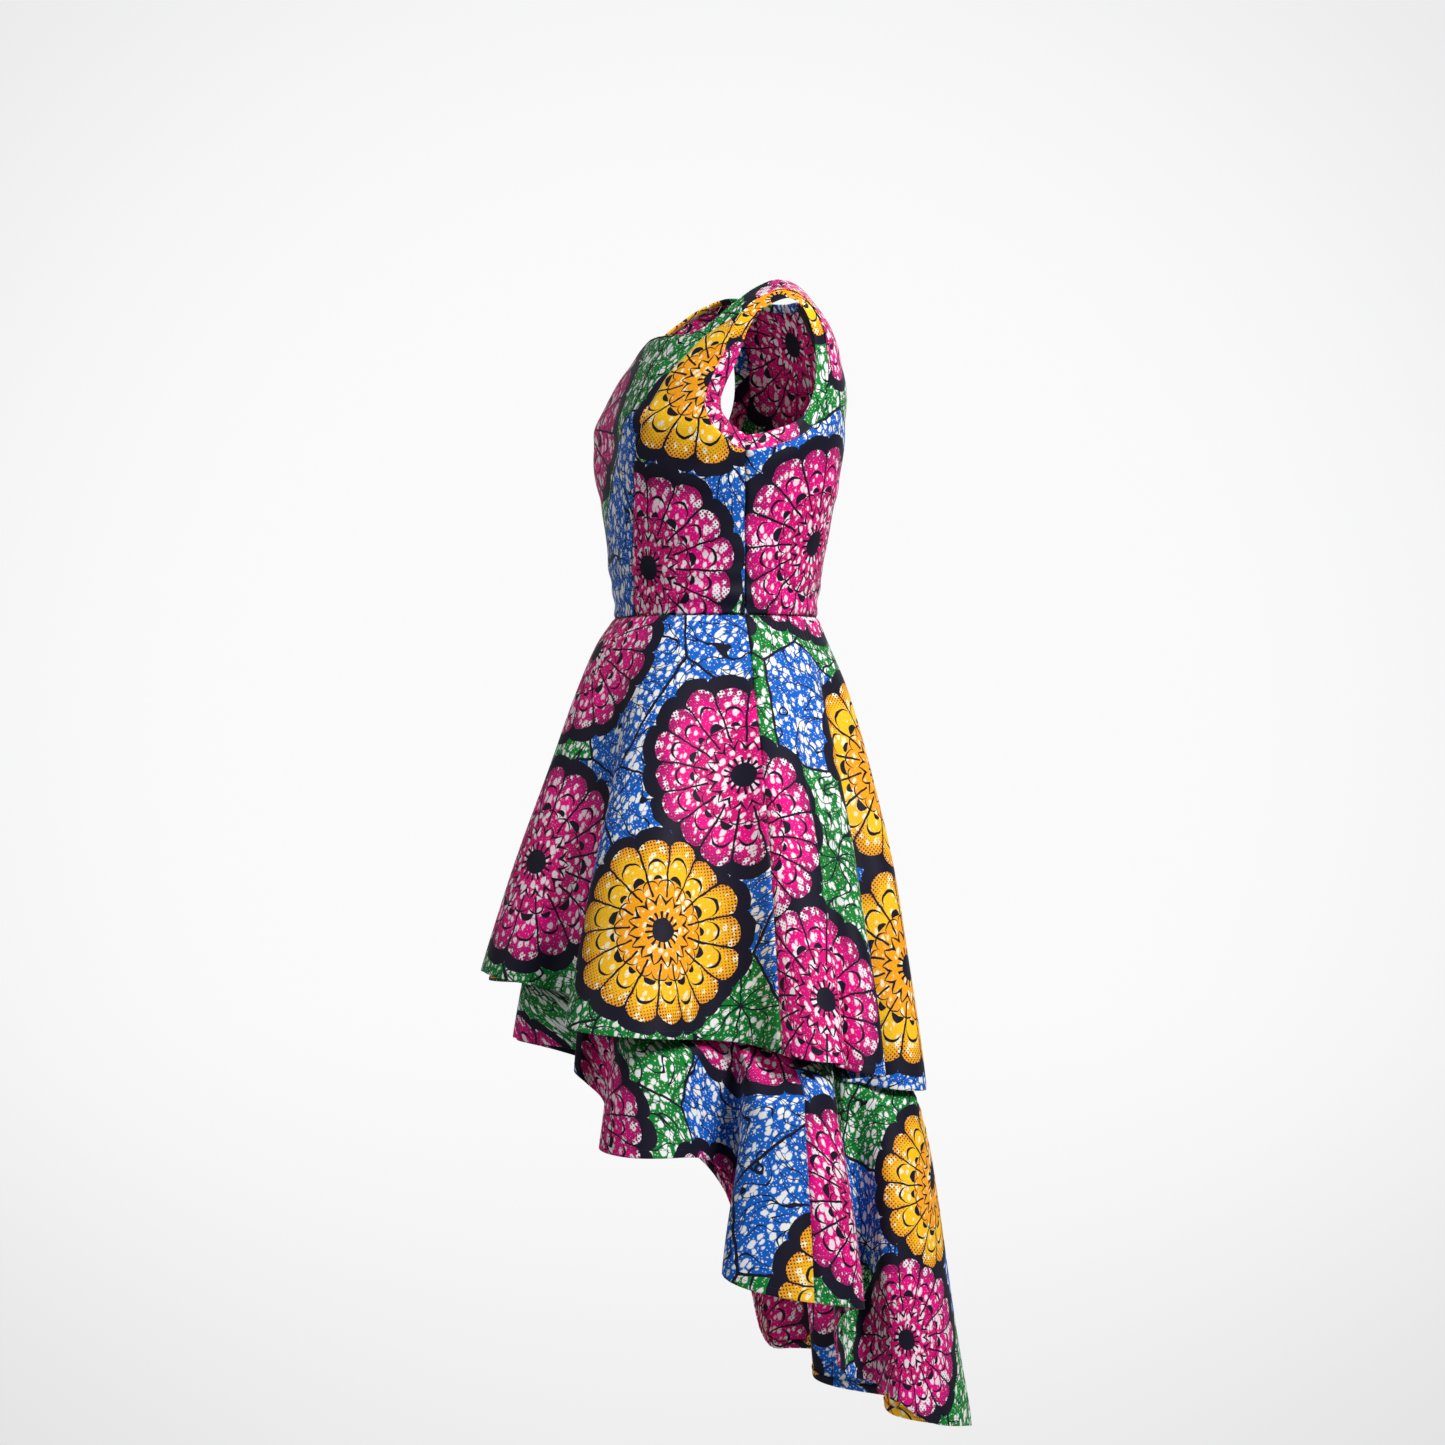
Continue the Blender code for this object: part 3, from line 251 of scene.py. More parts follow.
UPPER_HEM_PASS = 0.004
TIER_ROOM = {"depth": [0.0, 0.02, 0.08, 0.30, 0.60], "gap": [0.0018, 0.0030, 0.0060, 0.0110, 0.0135]}
TIER_BLEND = 0.004
WAIST_BLEND_DEPTH = 0.03
TIER_FREE_SLOPE = 1.3
ROOM_BINS = 360
ROOM_REACH = 5
ROOM_DEPTHS = np.linspace(0, 0.54, 28)
UPPER_SIDES = (90, 270)
LOWER_SIDES = (92, 265)
BACK_HEM_Z = min(UPPER_HEM["z"])
ZIP_HALF_WIDTH = 0.009
ZIP_DEPTH_UNDER_WAIST = (WAIST_Z - BACK_HEM_Z) * 0.22
ZIP_SLIT_EDGE = 0.0012
ZIP_SLIT_EASE = 0.008
ZIP_SLIT_CLOSE = 0.060
ZIP_TAPE_DEPTH = 0.0025
ZIP_TAPE_ROWS = 230
# A tape's columns: share of its half width from the middle, and how much deeper it lies there
ZIP_TAPE_COLUMNS = [
    (0.035, 0.0002), (0.06, 0.0), (0.2, 0.0), (0.4, 0.0001), (0.6, 0.0002), (0.8, 0.0003), (0.93, 0.0004),
    (0.98, 0.0006),
]
ZIP_COIL_DEPTH = 0.0037
ZIP_TAPE_END_GAP = 0.001
ZIP_TAPE_TOP_GAP = 0.004
ZIP_COIL_END_GAP = 0.008
SLIDER_Z = -0.026
SLIDER_HALF_WIDTH = 0.0036
SLIDER_HALF_LENGTH = 0.0050
SLIDER_BASE = 0.0012
SLIDER_CHEEK = 0.0010
SLIDER_CHEEK_END = 0.0008
SLIDER_HEIGHT = 0.0044
SLIDER_BEND = 0.00022
SLIDER_END_WIDTH = 0.80
SLIDER_LIFT = 0.0004
PULL_HEAD = 0.0012
PULL_NECK = [0.0032, 0.0050, 0.0064]
PULL_NECK_WIDTH = 0.97
PULL_LENGTH = 0.024
PULL_HALF_WIDTH = 0.0033
PULL_HALF_THICKNESS = 0.00055
PULL_GAP = 0.0003
PULL_CORNER = 0.45
# The leaf's sunk middle: where it begins and ends along the pull and across it, and how deep it is
PULL_DIMPLE_START = (0.0095, 0.0115)
PULL_DIMPLE_END = (0.0195, 0.0212)
PULL_DIMPLE_SIDES = (0.60, 0.80)
PULL_DIMPLE = 0.42

# Where each cut piece was laid on the printed cloth: sideways, along, and turned, in metres and degrees
LAYS = {
    "bodice_front": (0.10, 0.02, 0),
    "bodice_side_left": (1.31, 0.44, 8),
    "bodice_side_right": (2.13, 0.27, -6),
    "bodice_back_left": (3.08, 0.61, 0),
    "bodice_back_right": (3.72, 0.15, 0),
    "armhole_facing_left": (0.52, 1.83, 90),
    "armhole_facing_right": (1.12, 1.47, 90),
    "upper_front": (4.11, 1.02, 0),
    "upper_back_left": (5.23, 1.57, 4),
    "upper_back_right": (6.37, 0.93, -4),
    "lower_front": (7.41, 2.20, 0),
    "lower_back_left": (8.62, 2.71, 5),
    "lower_back_right": (9.87, 2.05, -5),
    "zip_tape": (0.0, 0.0, 0),
}


def curve_through(at, places, values):
    """Smooth values at any place: a cubic through a table's rows, with harmonic mean slopes at the rows."""
    places = np.asarray(places, float)
    values = np.asarray(values, float)
    steps = np.diff(values) / np.diff(places)
    slopes = np.empty_like(values)
    slopes[0] = steps[0]
    slopes[-1] = steps[-1]
    rising = steps[:-1] * steps[1:] > 0
    slopes[1:-1] = np.where(rising, 2 * steps[:-1] * steps[1:] / (steps[:-1] + steps[1:] + 1e-12), 0)
    at = np.clip(np.asarray(at, float), places[0], places[-1])
    row = np.clip(np.searchsorted(places, at, side="right") - 1, 0, len(places) - 2)
    width = places[row + 1] - places[row]
    share = (at - places[row]) / width
    keep = (1 + 2 * share) * (1 - share) ** 2
    start = share * (1 - share) ** 2 * width
    end = share**2 * (share - 1) * width
    return (
        keep * values[row] + start * slopes[row] + (1 - keep) * values[row + 1] + end * slopes[row + 1]
    )


def smooth_step(value, low, high):
    """0 below low, 1 above high, and a soft S between them."""
    share = np.clip((value - low) / (high - low), 0, 1)
    return share * share * (3 - 2 * share)


def even(count):
    """Shares 0 to 1 in a number of equal steps."""
    return np.linspace(0, 1, count + 1)


def ring_value(name, z):
    """One column of the bodice's ring table at height z."""
    return curve_through(z, BODICE_RINGS["z"], BODICE_RINGS[name])


def ridge_z(x):
    """Height of the shoulder line: it falls with the rounded distance sideways."""
    from_neck = np.hypot(x, RIDGE_ROUND) - np.hypot(RIDGE_X_AT_NECK, RIDGE_ROUND)
    return RIDGE_Z_AT_NECK + RIDGE_SLOPE * from_neck


def bodice_ring(angle, z, is_back):
    """Squared ellipse: x is half width times sine to the 2/power, y the reach times cosine to the 2/power."""
    power = ring_value("back_power" if is_back else "front_power", z)
    reach = ring_value("back" if is_back else "front", z)
    side_y = ring_value("side_y", z)
    sine = np.sin(angle)
    cosine = np.cos(angle)
    x = ring_value("half_width", z) * np.sign(sine) * np.abs(sine) ** (2 / power)
    share = np.sign(cosine) * np.abs(cosine) ** (2 / power)
    if is_back:
        return x, side_y + (reach - side_y) * share
    return x, side_y - (reach + side_y) * share


def bodice_surface(angle, lift, is_back):
    """Outer face of the bodice: up the rings to the chest at lift 1, then a squared quarter arch to the
    shoulder line at lift 2, with a bell-shaped rise at the bust."""
    chest = BACK_CHEST_Z if is_back else FRONT_CHEST_Z
    power = BACK_ARCH_POWER if is_back else FRONT_ARCH_POWER
    ring_z = WAIST_Z + (chest - WAIST_Z) * np.clip(lift, 0, 1)
    x, y = bodice_ring(angle, ring_z, is_back)
    turn = np.clip(lift - 1, 0, 1) * math.pi / 2
    rise = np.sin(turn)
    reach = np.maximum(1 - rise**power, 0) ** (1 / power)
    z = ring_z + (ridge_z(x) - chest) * rise
    y = SHOULDER_TO_AXIS + (y - SHOULDER_TO_AXIS) * reach
    if not is_back:
        sideways = (np.abs(x) - CUP_X) / CUP_WIDTH
        upwards = (z - CUP_Z) / CUP_HEIGHT
        y = y - CUP_RISE * np.exp(-(sideways**2) - upwards**2)
    return np.stack([x, y - SHOULDER_TO_AXIS, z], axis=-1)


def lift_at(x, z, is_back):
    """The lift of a point of the bodice from its distance sideways and its height."""
    chest = BACK_CHEST_Z if is_back else FRONT_CHEST_Z
    below = (z - WAIST_Z) / (chest - WAIST_Z)
    rise = np.clip((z - chest) / (ridge_z(x) - chest), 0, 1)
    return np.where(z <= chest, below, 1 + np.arcsin(rise) / (math.pi / 2))


def angle_at(x, z, is_back):
    """The ring angle of a point of the bodice from its distance sideways and its height."""
    chest = BACK_CHEST_Z if is_back else FRONT_CHEST_Z
    ring_z = np.minimum(z, chest)
    power = ring_value("back_power" if is_back else "front_power", ring_z)
    share = np.clip(np.abs(x) / ring_value("half_width", ring_z), 0, 1)
    return np.arcsin(share ** (power / 2))


def on_bodice(points, is_back):
    """Angle and lift of each (sideways, height) pair of an edge table."""
    x, z = np.asarray(points, float).T
    return np.stack([angle_at(x, z, is_back), lift_at(x, z, is_back)], axis=-1)


def strap_end(x, is_back):
    """Angle and lift on the shoulder line at a distance sideways."""
    chest = BACK_CHEST_Z if is_back else FRONT_CHEST_Z
    return np.array([[angle_at(np.float64(x), np.float64(chest), is_back), 2.0]])


def spread(points, shares):
    """Points at the given shares of the way along a smooth line through some points."""
    points = np.asarray(points, float)
    way = np.concatenate([[0], np.cumsum(np.linalg.norm(np.diff(points, axis=0), axis=1))])
    at = np.asarray(shares) * way[-1]
    return np.stack([curve_through(at, way, points[:, i]) for i in range(2)], axis=-1)


def patch(low, high, left, right):
    """Grid between four edges: the mean of the two rulings less the bilinear part of the corners."""
    across = np.linspace(0, 1, len(low))[None, :, None]
    up = np.linspace(0, 1, len(left))[:, None, None]
    rows = (1 - up) * low[None] + up * high[None]
    columns = (1 - across) * left[:, None] + across * right[:, None]
    corners = (
        (1 - up) * (1 - across) * low[0]
        + (1 - up) * across * low[-1]
        + up * (1 - across) * high[0]
        + up * across * high[-1]
    )
    return rows + columns - corners


def grid_quads(rows, columns, wrap=False):
    """Quads of a grid with its rows one after another."""
    index = np.arange(rows * columns).reshape(rows, columns)
    if wrap:
        index = np.concatenate([index, index[:, :1]], axis=1)
    low_left = index[:-1, :-1].ravel()
    low_right = index[:-1, 1:].ravel()
    top_right = index[1:, 1:].ravel()
    top_left = index[1:, :-1].ravel()
    return np.stack([low_left, low_right, top_right, top_left], axis=1)


def rim_edges(quads):
    """Edges that only one quad has, each in the direction that its quad runs."""
    ends = np.concatenate([quads[:, [i, (i + 1) % 4]] for i in range(4)])
    key = np.sort(ends, axis=1)
    _, first, count = np.unique(key, axis=0, return_index=True, return_counts=True)
    return ends[first[count == 1]]


def quad_normals(points, quads):
    """Unit normals at the points: the sum of the cross products of the diagonals of the quads round each."""
    across = points[quads[:, 2]] - points[quads[:, 0]]
    other = points[quads[:, 3]] - points[quads[:, 1]]
    face = np.cross(across, other)
    normals = np.zeros_like(points)
    for corner in range(4):
        np.add.at(normals, quads[:, corner], face)
    return normals / np.maximum(np.linalg.norm(normals, axis=1, keepdims=True), 1e-12)


def rim_frame(points, normals, quads):
    """Rim points of a sheet and, for each, the direction along the cloth away from the rim."""
    rim = rim_edges(quads)
    along = points[rim[:, 1]] - points[rim[:, 0]]
    inward = np.cross(normals[rim[:, 0]] + normals[rim[:, 1]], along)
    inward /= np.maximum(np.linalg.norm(inward, axis=1, keepdims=True), 1e-12)
    total = np.zeros_like(points)
    np.add.at(total, rim[:, 0], inward)
    np.add.at(total, rim[:, 1], inward)
    on_rim = np.unique(rim)
    way = total[on_rim]
    return on_rim, way / np.maximum(np.linalg.norm(way, axis=1, keepdims=True), 1e-12)


def nearest_rim(points, rim_points, reach):
    """Distance of each point to the nearest rim point, up to a reach, from blocks of the whole table."""
    found = np.full(len(points), reach)
    block = 2000
    for start in range(0, len(points), block):
        part = points[start : start + block]
        low = part.min(axis=0) - reach
        high = part.max(axis=0) + reach
        close = rim_points[np.all((rim_points > low) & (rim_points < high), axis=1)]
        if len(close):
            away = np.linalg.norm(part[:, None] - close[None], axis=2).min(axis=1)
            found[start : start + block] = np.minimum(away, reach)
    return found


def roll_seams(points, normals, quads, keep=None):
    """Seam edges bend in: a point within the reach of the rim sinks by a parabola of its nearness to it."""
    on_rim, way = rim_frame(points, normals, quads)
    if keep is not None:
        chosen = keep[on_rim]
        on_rim, way = on_rim[chosen], way[chosen]
    moved = points.copy()
    moved[on_rim] += way * SEAM_GAP
    near = 1 - nearest_rim(points, points[on_rim], SEAM_ROLL_REACH) / SEAM_ROLL_REACH
    return moved - normals * (SEAM_ROLL * near**2)[:, None]


def weld(points, uv, quads):
    """Join points that lie together, where two blocks of one piece meet."""
    key = np.round(points, 6)
    _, first, index = np.unique(key, axis=0, return_index=True, return_inverse=True)
    return points[first], uv[first], index.ravel()[quads]


def wrinkle(a, b, rows):
    """Sum of sines of two coordinates: rows give the two rates, the phase, the bend and the height."""
    total = np.zeros_like(a)
    for rate_a, rate_b, phase, bend, height in rows:
        total += height * np.sin(rate_a * a + rate_b * b + phase + bend * np.sin(0.7 * rate_b * b + phase))
    return total


def cloth_object(name, points, flat, quads, material, lay=None, thickness=SHEET):
    """Mesh sheet with its flat pattern as its UV map, given its thickness inwards and shaded smooth."""
    uv = place_on_cloth(flat, lay) if lay else flat
    mesh = bpy.data.meshes.new(name)
    mesh.from_pydata(points.tolist(), [], quads.tolist())
    layer = mesh.uv_layers.new(name="flat_pattern")
    corners = np.empty(len(mesh.loops), np.int32)
    mesh.loops.foreach_get("vertex_index", corners)
    layer.data.foreach_set("uv", uv[corners].astype(np.float32).ravel())
    mesh.materials.append(material)
    mesh.shade_smooth()
    piece = bpy.data.objects.new(name + "_cloth" if lay else name, mesh)
    bpy.context.scene.collection.objects.link(piece)
    if thickness:
        shell = piece.modifiers.new("cloth_thickness", "SOLIDIFY")
        shell.thickness = thickness
        shell.offset = -1.0
        shell.use_even_offset = False
    return piece


def place_on_cloth(uv, name):
    """Turn and shift a piece's flat pattern to where it was laid on the printed cloth."""
    sideways, along, degrees = LAYS[name]
    cosine = math.cos(math.radians(degrees))
    sine = math.sin(math.radians(degrees))
    turned = uv @ np.array([[cosine, sine], [-sine, cosine]])
    return turned + [sideways, along]


def bodice_flat(angle, lift, is_back, side):
    """Flat pattern of the bodice: arc length round the ring under the bust, and length up the cloth."""
    under_bust_z = -0.25
    mid_panel_angle = 0.55
    table = np.linspace(0, math.pi / 2, 400)
    x, y = bodice_ring(table, np.full_like(table, under_bust_z), is_back)
    round_ring = np.concatenate([[0], np.cumsum(np.hypot(np.diff(x), np.diff(y)))])
    lifts = np.linspace(0, 2, 400)
    line = bodice_surface(np.full_like(lifts, mid_panel_angle), lifts, is_back)
    length = np.concatenate([[0], np.cumsum(np.linalg.norm(np.diff(line, axis=0), axis=1))])
    across = np.interp(angle, table, round_ring) * side
    return np.stack([across, np.interp(lift, lifts, length)], axis=-1)


def bodice_block(grid, is_back, side):
    """Points, flat pattern and quads of one block of the bodice from its grid of angle and lift."""
    angle = grid[..., 0]
    lift = np.minimum(grid[..., 1], 2.0)
    points = bodice_surface(angle, lift, is_back).reshape(-1, 3)
    uv = bodice_flat(angle, lift, is_back, side).reshape(-1, 2)
    quads = grid_quads(*angle.shape)
    if is_back:
        quads = quads[:, ::-1]
    if side < 0:
        points = points * [-1, 1, 1]
        quads = quads[:, ::-1]
    return points, uv, quads


def join_blocks(blocks):
    """One sheet from several blocks that share some of their rim points."""
    start = np.cumsum([0] + [len(block[0]) for block in blocks[:-1]])
    points = np.concatenate([block[0] for block in blocks])
    uv = np.concatenate([block[1] for block in blocks])
    quads = np.concatenate([block[2] + offset for block, offset in zip(blocks, start)])
    return weld(points, uv, quads)


def front_grids():
    """Grids of the left half of the centre front: the body of the piece, and its strap."""
    neck = on_bodice(NECK_FRONT_LOW, False)
    base = np.stack([neck[-1], on_bodice(PRINCESS[-1:], False)[0]])
    rows = even(BODICE_ROWS)
    princess = spread(on_bodice(PRINCESS, False), rows)
    across = even(FRONT_NECK_COLUMNS + FRONT_STRAP_COLUMNS)
    low = np.stack([princess[0, 0] * across, np.zeros(len(across))], axis=-1)
    strap_low = spread(base, even(FRONT_STRAP_COLUMNS))
    high = np.concatenate([spread(neck, even(FRONT_NECK_COLUMNS)), strap_low[1:]])
    left = np.stack([np.zeros(len(rows)), neck[0, 1] * rows], axis=-1)
    body = patch(low, high, left, princess)
    inner = np.concatenate([on_bodice(NECK_FRONT_SIDE, False), strap_end(STRAP_IN_X, False)])
    outer = np.concatenate([on_bodice(ARMHOLE_FRONT_STRAP, False), strap_end(STRAP_OUT_X, False)])
    top = spread(np.stack([inner[-1], outer[-1]]), even(FRONT_STRAP_COLUMNS))
    sides = even(FRONT_STRAP_ROWS)
    strap = patch(high[FRONT_NECK_COLUMNS:], top, spread(inner, sides), spread(outer, sides))
    return body, strap


def side_seam(is_back):
    """The side seam's rows, from the waist to the armhole."""
    heights = WAIST_Z + (ARMHOLE_LOW_Z - WAIST_Z) * even(BODICE_ROWS)
    lifts = lift_at(BODICE_RINGS["half_width"][-2], heights, is_back)
    return np.stack([np.full(len(heights), math.pi / 2), lifts], axis=-1)


def side_front_grid():
    """Grid of a side front: waist, side seam, armhole and princess seam are its four edges."""
    inner = spread(on_bodice(PRINCESS, False), even(BODICE_ROWS))
    right = side_seam(False)
    across = even(SIDE_COLUMNS)
    high = spread(np.concatenate([on_bodice(ARMHOLE_FRONT, False), right[-1:]]), across)
    low = np.stack([inner[0, 0] + (math.pi / 2 - inner[0, 0]) * across, np.zeros(len(across))], axis=-1)
    return patch(low, high, inner, right)


def back_grids():
    """Grids of the left back: the body of the piece, and its strap."""
    neck = on_bodice(NECK_BACK_LOW, True)
    arm = on_bodice(ARMHOLE_BACK, True)
    right = side_seam(True)
    base = np.stack([neck[-1], arm[0]])
    arm_edge = spread(np.concatenate([arm, right[-1:]]), even(SIDE_COLUMNS))
    strap_low = spread(base, even(BACK_STRAP_COLUMNS))
    high = np.concatenate([spread(neck, even(BACK_NECK_COLUMNS)), strap_low[1:], arm_edge[1:]])
    low = np.stack([math.pi / 2 * even(len(high) - 1), np.zeros(len(high))], axis=-1)
    left = np.stack([np.zeros(len(right)), neck[0, 1] * even(BODICE_ROWS)], axis=-1)
    body = patch(low, high, left, right)
    inner = np.concatenate([on_bodice(NECK_BACK_SIDE, True), strap_end(STRAP_IN_X, True)])
    outer = np.concatenate([on_bodice(ARMHOLE_BACK_STRAP, True), strap_end(STRAP_OUT_X, True)])
    top = spread(np.stack([inner[-1], outer[-1]]), even(BACK_STRAP_COLUMNS))
    sides = even(BACK_STRAP_ROWS)
    strap_end_column = BACK_NECK_COLUMNS + BACK_STRAP_COLUMNS + 1
    strap_base = high[BACK_NECK_COLUMNS:strap_end_column]
    strap = patch(strap_base, top, spread(inner, sides), spread(outer, sides))
    return body, strap


def bodice_creases(points):
    """Soft creases of a worn bodice: slow waves, rings above the waist and slanting pulls at the underarm.

    Rings and pulls are sines of the height and of the way round, each inside a bell about its own place.
    """
    x, y, z = points.T
    sideways = (np.abs(x) - UNDERARM_X) / UNDERARM_REACH[0]
    near_waist = np.exp(-(((z - WAIST_RINGS_Z) / WAIST_RINGS_REACH) ** 2))
    near_arm = np.exp(-(((z - UNDERARM_Z) / UNDERARM_REACH[1]) ** 2) - sideways**2)
    rings = WAIST_RINGS_HEIGHT * near_waist * np.sin(230 * z + 16 * y + 1.2 * np.sin(30 * x))
    pulls = UNDERARM_HEIGHT * near_arm * np.sin(190 * z - 120 * y)
    return wrinkle(y, z, BODICE_WAVES) + rings + pulls


def finish_bodice(name, blocks, material):
    """Bodice piece: its blocks joined, creased softly, with its seam edges rolled in."""
    points, uv, quads = join_blocks(blocks)
    normals = quad_normals(points, quads)
    points = points + normals * bodice_creases(points)[:, None]
    points = roll_seams(points, normals, quads)
    return cloth_object(name, points, uv, quads, material, name)


def make_bodice(material):
    """The five shell pieces of the bodice."""
    body, strap = front_grids()
    blocks = [bodice_block(grid, False, side) for grid in (body, strap) for side in (1, -1)]
    made = [finish_bodice("bodice_front", blocks, material)]
    for side, word in ((1, "left"), (-1, "right")):
        blocks = [bodice_block(side_front_grid(), False, side)]
        made.append(finish_bodice("bodice_side_" + word, blocks, material))
        blocks = [bodice_block(grid, True, side) for grid in back_grids()]
        made.append(finish_bodice("bodice_back_" + word, blocks, material))
    return made


def edge_loop(front, back, half):
    """Points and normals along an edge that runs over the front, then over the back.

    A normal is the cross product of two small steps on the surface, taken just short of the shoulder line.
    """
    step = 1e-3
    highest_lift = 1.985
    sheets = []
    for line, is_back in ((front, False), (back, True)):
        track = spread(line, even(half))
        lift = np.minimum(track[:, 1], highest_lift)
        angle = np.maximum(track[:, 0], 2 * step)
        along = bodice_surface(angle + step, lift, is_back) - bodice_surface(angle - step, lift, is_back)
        up = bodice_surface(angle, lift + step, is_back) - bodice_surface(angle, lift - step, is_back)
        normal = np.cross(along, up) * (-1 if is_back else 1)
        normal /= np.linalg.norm(normal, axis=1, keepdims=True)
        sheets.append((bodice_surface(track[:, 0], np.minimum(track[:, 1], 2.0), is_back), normal))
    points = np.concatenate([sheets[0][0][:-1], sheets[1][0][:-1]])
    normals = np.concatenate([sheets[0][1][:-1], sheets[1][1][:-1]])
    return points, normals


def eased(values, times):
    """Each value drawn towards the mean of its neighbours round a closed loop, a number of times."""
    for _ in range(times):
        values = (np.roll(values, 1, axis=0) + 2 * values + np.roll(values, -1, axis=0)) / 4
    return values


def loop_frame(points, normals, times):
    """Unit normals eased round a closed loop, and the unit way into the cloth at each point."""
    normals = eased(normals, times)
    normals /= np.linalg.norm(normals, axis=1, keepdims=True)
    along = np.roll(points, -1, axis=0) - np.roll(points, 1, axis=0)
    into = eased(np.cross(along, normals), times)
    return normals, into / np.linalg.norm(into, axis=1, keepdims=True)


def swept_edge(name, points, normals, into, profile, lay, material, side):
    """Strip along an edge: each row of the profile gives how far into the cloth and how deep it lies."""
    profile = np.asarray(profile, float)
    place = points[None] + into[None] * profile[:, None, :1] - normals[None] * profile[:, None, 1:]
    way = np.concatenate([[0], np.cumsum(np.linalg.norm(np.diff(points, axis=0), axis=1))])
    across = np.concatenate([[0], np.cumsum(np.linalg.norm(np.diff(profile, axis=0), axis=1))])
    first, second = np.meshgrid(way, across)
    uv = np.stack([first, second], axis=-1).reshape(-1, 2)
    quads = grid_quads(len(profile), len(points))
    place = place.reshape(-1, 3) * [side, 1, 1]
    if side > 0:
        quads = quads[:, ::-1]
    return cloth_object(name, place, uv, quads, material, lay, thickness=FACING_SHEET)


def armhole_line():
    """The left armhole's edge as a loop that ends where it starts, at the side seam."""
    front = np.concatenate(
        [
            side_seam(False)[-1:],
            on_bodice(ARMHOLE_FRONT, False)[::-1],
            on_bodice(ARMHOLE_FRONT_STRAP, False)[1:],
            strap_end(STRAP_OUT_X, False),
        ]
    )
    back = np.concatenate(
        [
            strap_end(STRAP_OUT_X, True),
            on_bodice(ARMHOLE_BACK_STRAP, True)[::-1][:1],
            on_bodice(ARMHOLE_BACK, True),
            side_seam(True)[-1:],
        ]
    )
    points, normals = edge_loop(front, back, ARMHOLE_POINTS)
    loop = (points, *loop_frame(points, normals, EDGE_EASING))
    return [np.concatenate([rows, rows[:1]]) for rows in loop]


def neck_line():
    """The neck's edge, from one side of the zip round the front to its other side."""
    front = np.concatenate(
        [
            on_bodice(NECK_FRONT_LOW, False),
            on_bodice(NECK_FRONT_SIDE, False)[1:],
            strap_end(STRAP_IN_X, False),
        ]
    )
    back = np.concatenate(
        [
            strap_end(STRAP_IN_X, True),
            on_bodice(NECK_BACK_SIDE, True)[::-1],
            on_bodice(NECK_BACK_LOW, True)[-2::-1],
        ]
    )
    points, normals = edge_loop(front, back, NECK_POINTS)
    half = len(points)
    points = np.concatenate([points, points[:0:-1] * [-1, 1, 1]])
    normals = np.concatenate([normals, normals[:0:-1] * [-1, 1, 1]])
    loop = (points, *loop_frame(points, normals, EDGE_EASING))
    return [np.roll(rows, -half, axis=0) for rows in loop]


def make_edges(material):
    """Facings inside the armholes, each with its rolled edge, and the neck's turned edge."""
    armhole = armhole_line()
    made = []
    for side, word in ((1, "left"), (-1, "right")):
        name = "armhole_facing_" + word
        made.append(swept_edge(name, *armhole, ARMHOLE_FACING, name, material, side))
    made.append(swept_edge("neck_turned_edge", *neck_line(), NECK_TURN, "bodice_front", material, 1))
    return made


def tier_ring(rings, angle, depth):
    """Point of a tier's mean ring and its outward direction, at an angle from centre front."""
    half_width = curve_through(depth, rings["depth"], rings["half_width"])
    front = curve_through(depth, rings["depth"], rings["front"])
    back = curve_through(depth, rings["depth"], rings["back"])
    side_y = BODICE_RINGS["side_y"][0]
    cosine = np.cos(angle)
    reach = np.where(cosine > 0, front + side_y, back - side_y)
    point = np.stack([half_width * np.sin(angle), side_y - reach * cosine], axis=-1)
    out = np.stack([reach * np.sin(angle), -half_width * cosine], axis=-1)
    return point, out / np.linalg.norm(out, axis=-1, keepdims=True)


def fold_columns(folds, turn):
    """Angle, stand-off share and roll of a tier's folds: half a cosine from each crest to each hollow, and
    a roll that swells them, a sine of the way between them."""
    angles = [row[0] for row in folds] + [360 + folds[0][0]]
    shares = np.array([row[1] for row in folds] + [folds[0][1]])
    rolls = np.array([row[2] for row in folds] + [folds[0][2]])
    swells = np.array([row[3] if len(row) > 3 else 0.0 for row in folds])
    turn = np.mod(turn, len(folds))
    row = np.minimum(turn.astype(int), len(folds) - 1)
    part = turn - row
    wide = [angles[-2] - 360] + angles + [360 + angles[1]]
    angle = curve_through(turn, np.arange(-1, len(folds) + 2), wide)
    blend = (1 - np.cos(math.pi * part)) / 2
    from_crest = np.sign(shares[row] - shares[row + 1])
    share = shares[row] * (1 - blend) + shares[row + 1] * blend
    roll = (rolls[row] * (1 - part) + rolls[row + 1] * part) * np.sin(2 * math.pi * part)
    roll += (CREST_WIDENING * from_crest + swells[row]) * np.sin(math.pi * part) ** 2
    return np.radians(angle), share, roll


def hem_height(hem, angle):
    """Height of a hem at an angle."""
    return curve_through(np.mod(np.degrees(angle), 360), hem["angle"], hem["z"])


def upper_surface(turn, drop):
    """Point of the upper tier: turn counts its crests and hollows, drop is 0 at the waist, 1 at the hem."""
    angle, share, roll = fold_columns(UPPER_FOLDS, turn)
    depth = (WAIST_Z - hem_height(UPPER_HEM, angle)) * drop
    grown = (np.maximum(depth, 0) / UPPER_FOLD_AT) ** UPPER_FOLD_GROWTH
    middle = np.linalg.norm(tier_ring(UPPER_RINGS, angle, depth)[0], axis=-1)
    point, out = tier_ring(UPPER_RINGS, angle + roll * grown / middle, depth)
    point = point + out * (UPPER_FOLD_DEPTH * grown * share)[..., None]
    return np.stack([point[..., 0], point[..., 1] - SHOULDER_TO_AXIS, WAIST_Z - depth], axis=-1)


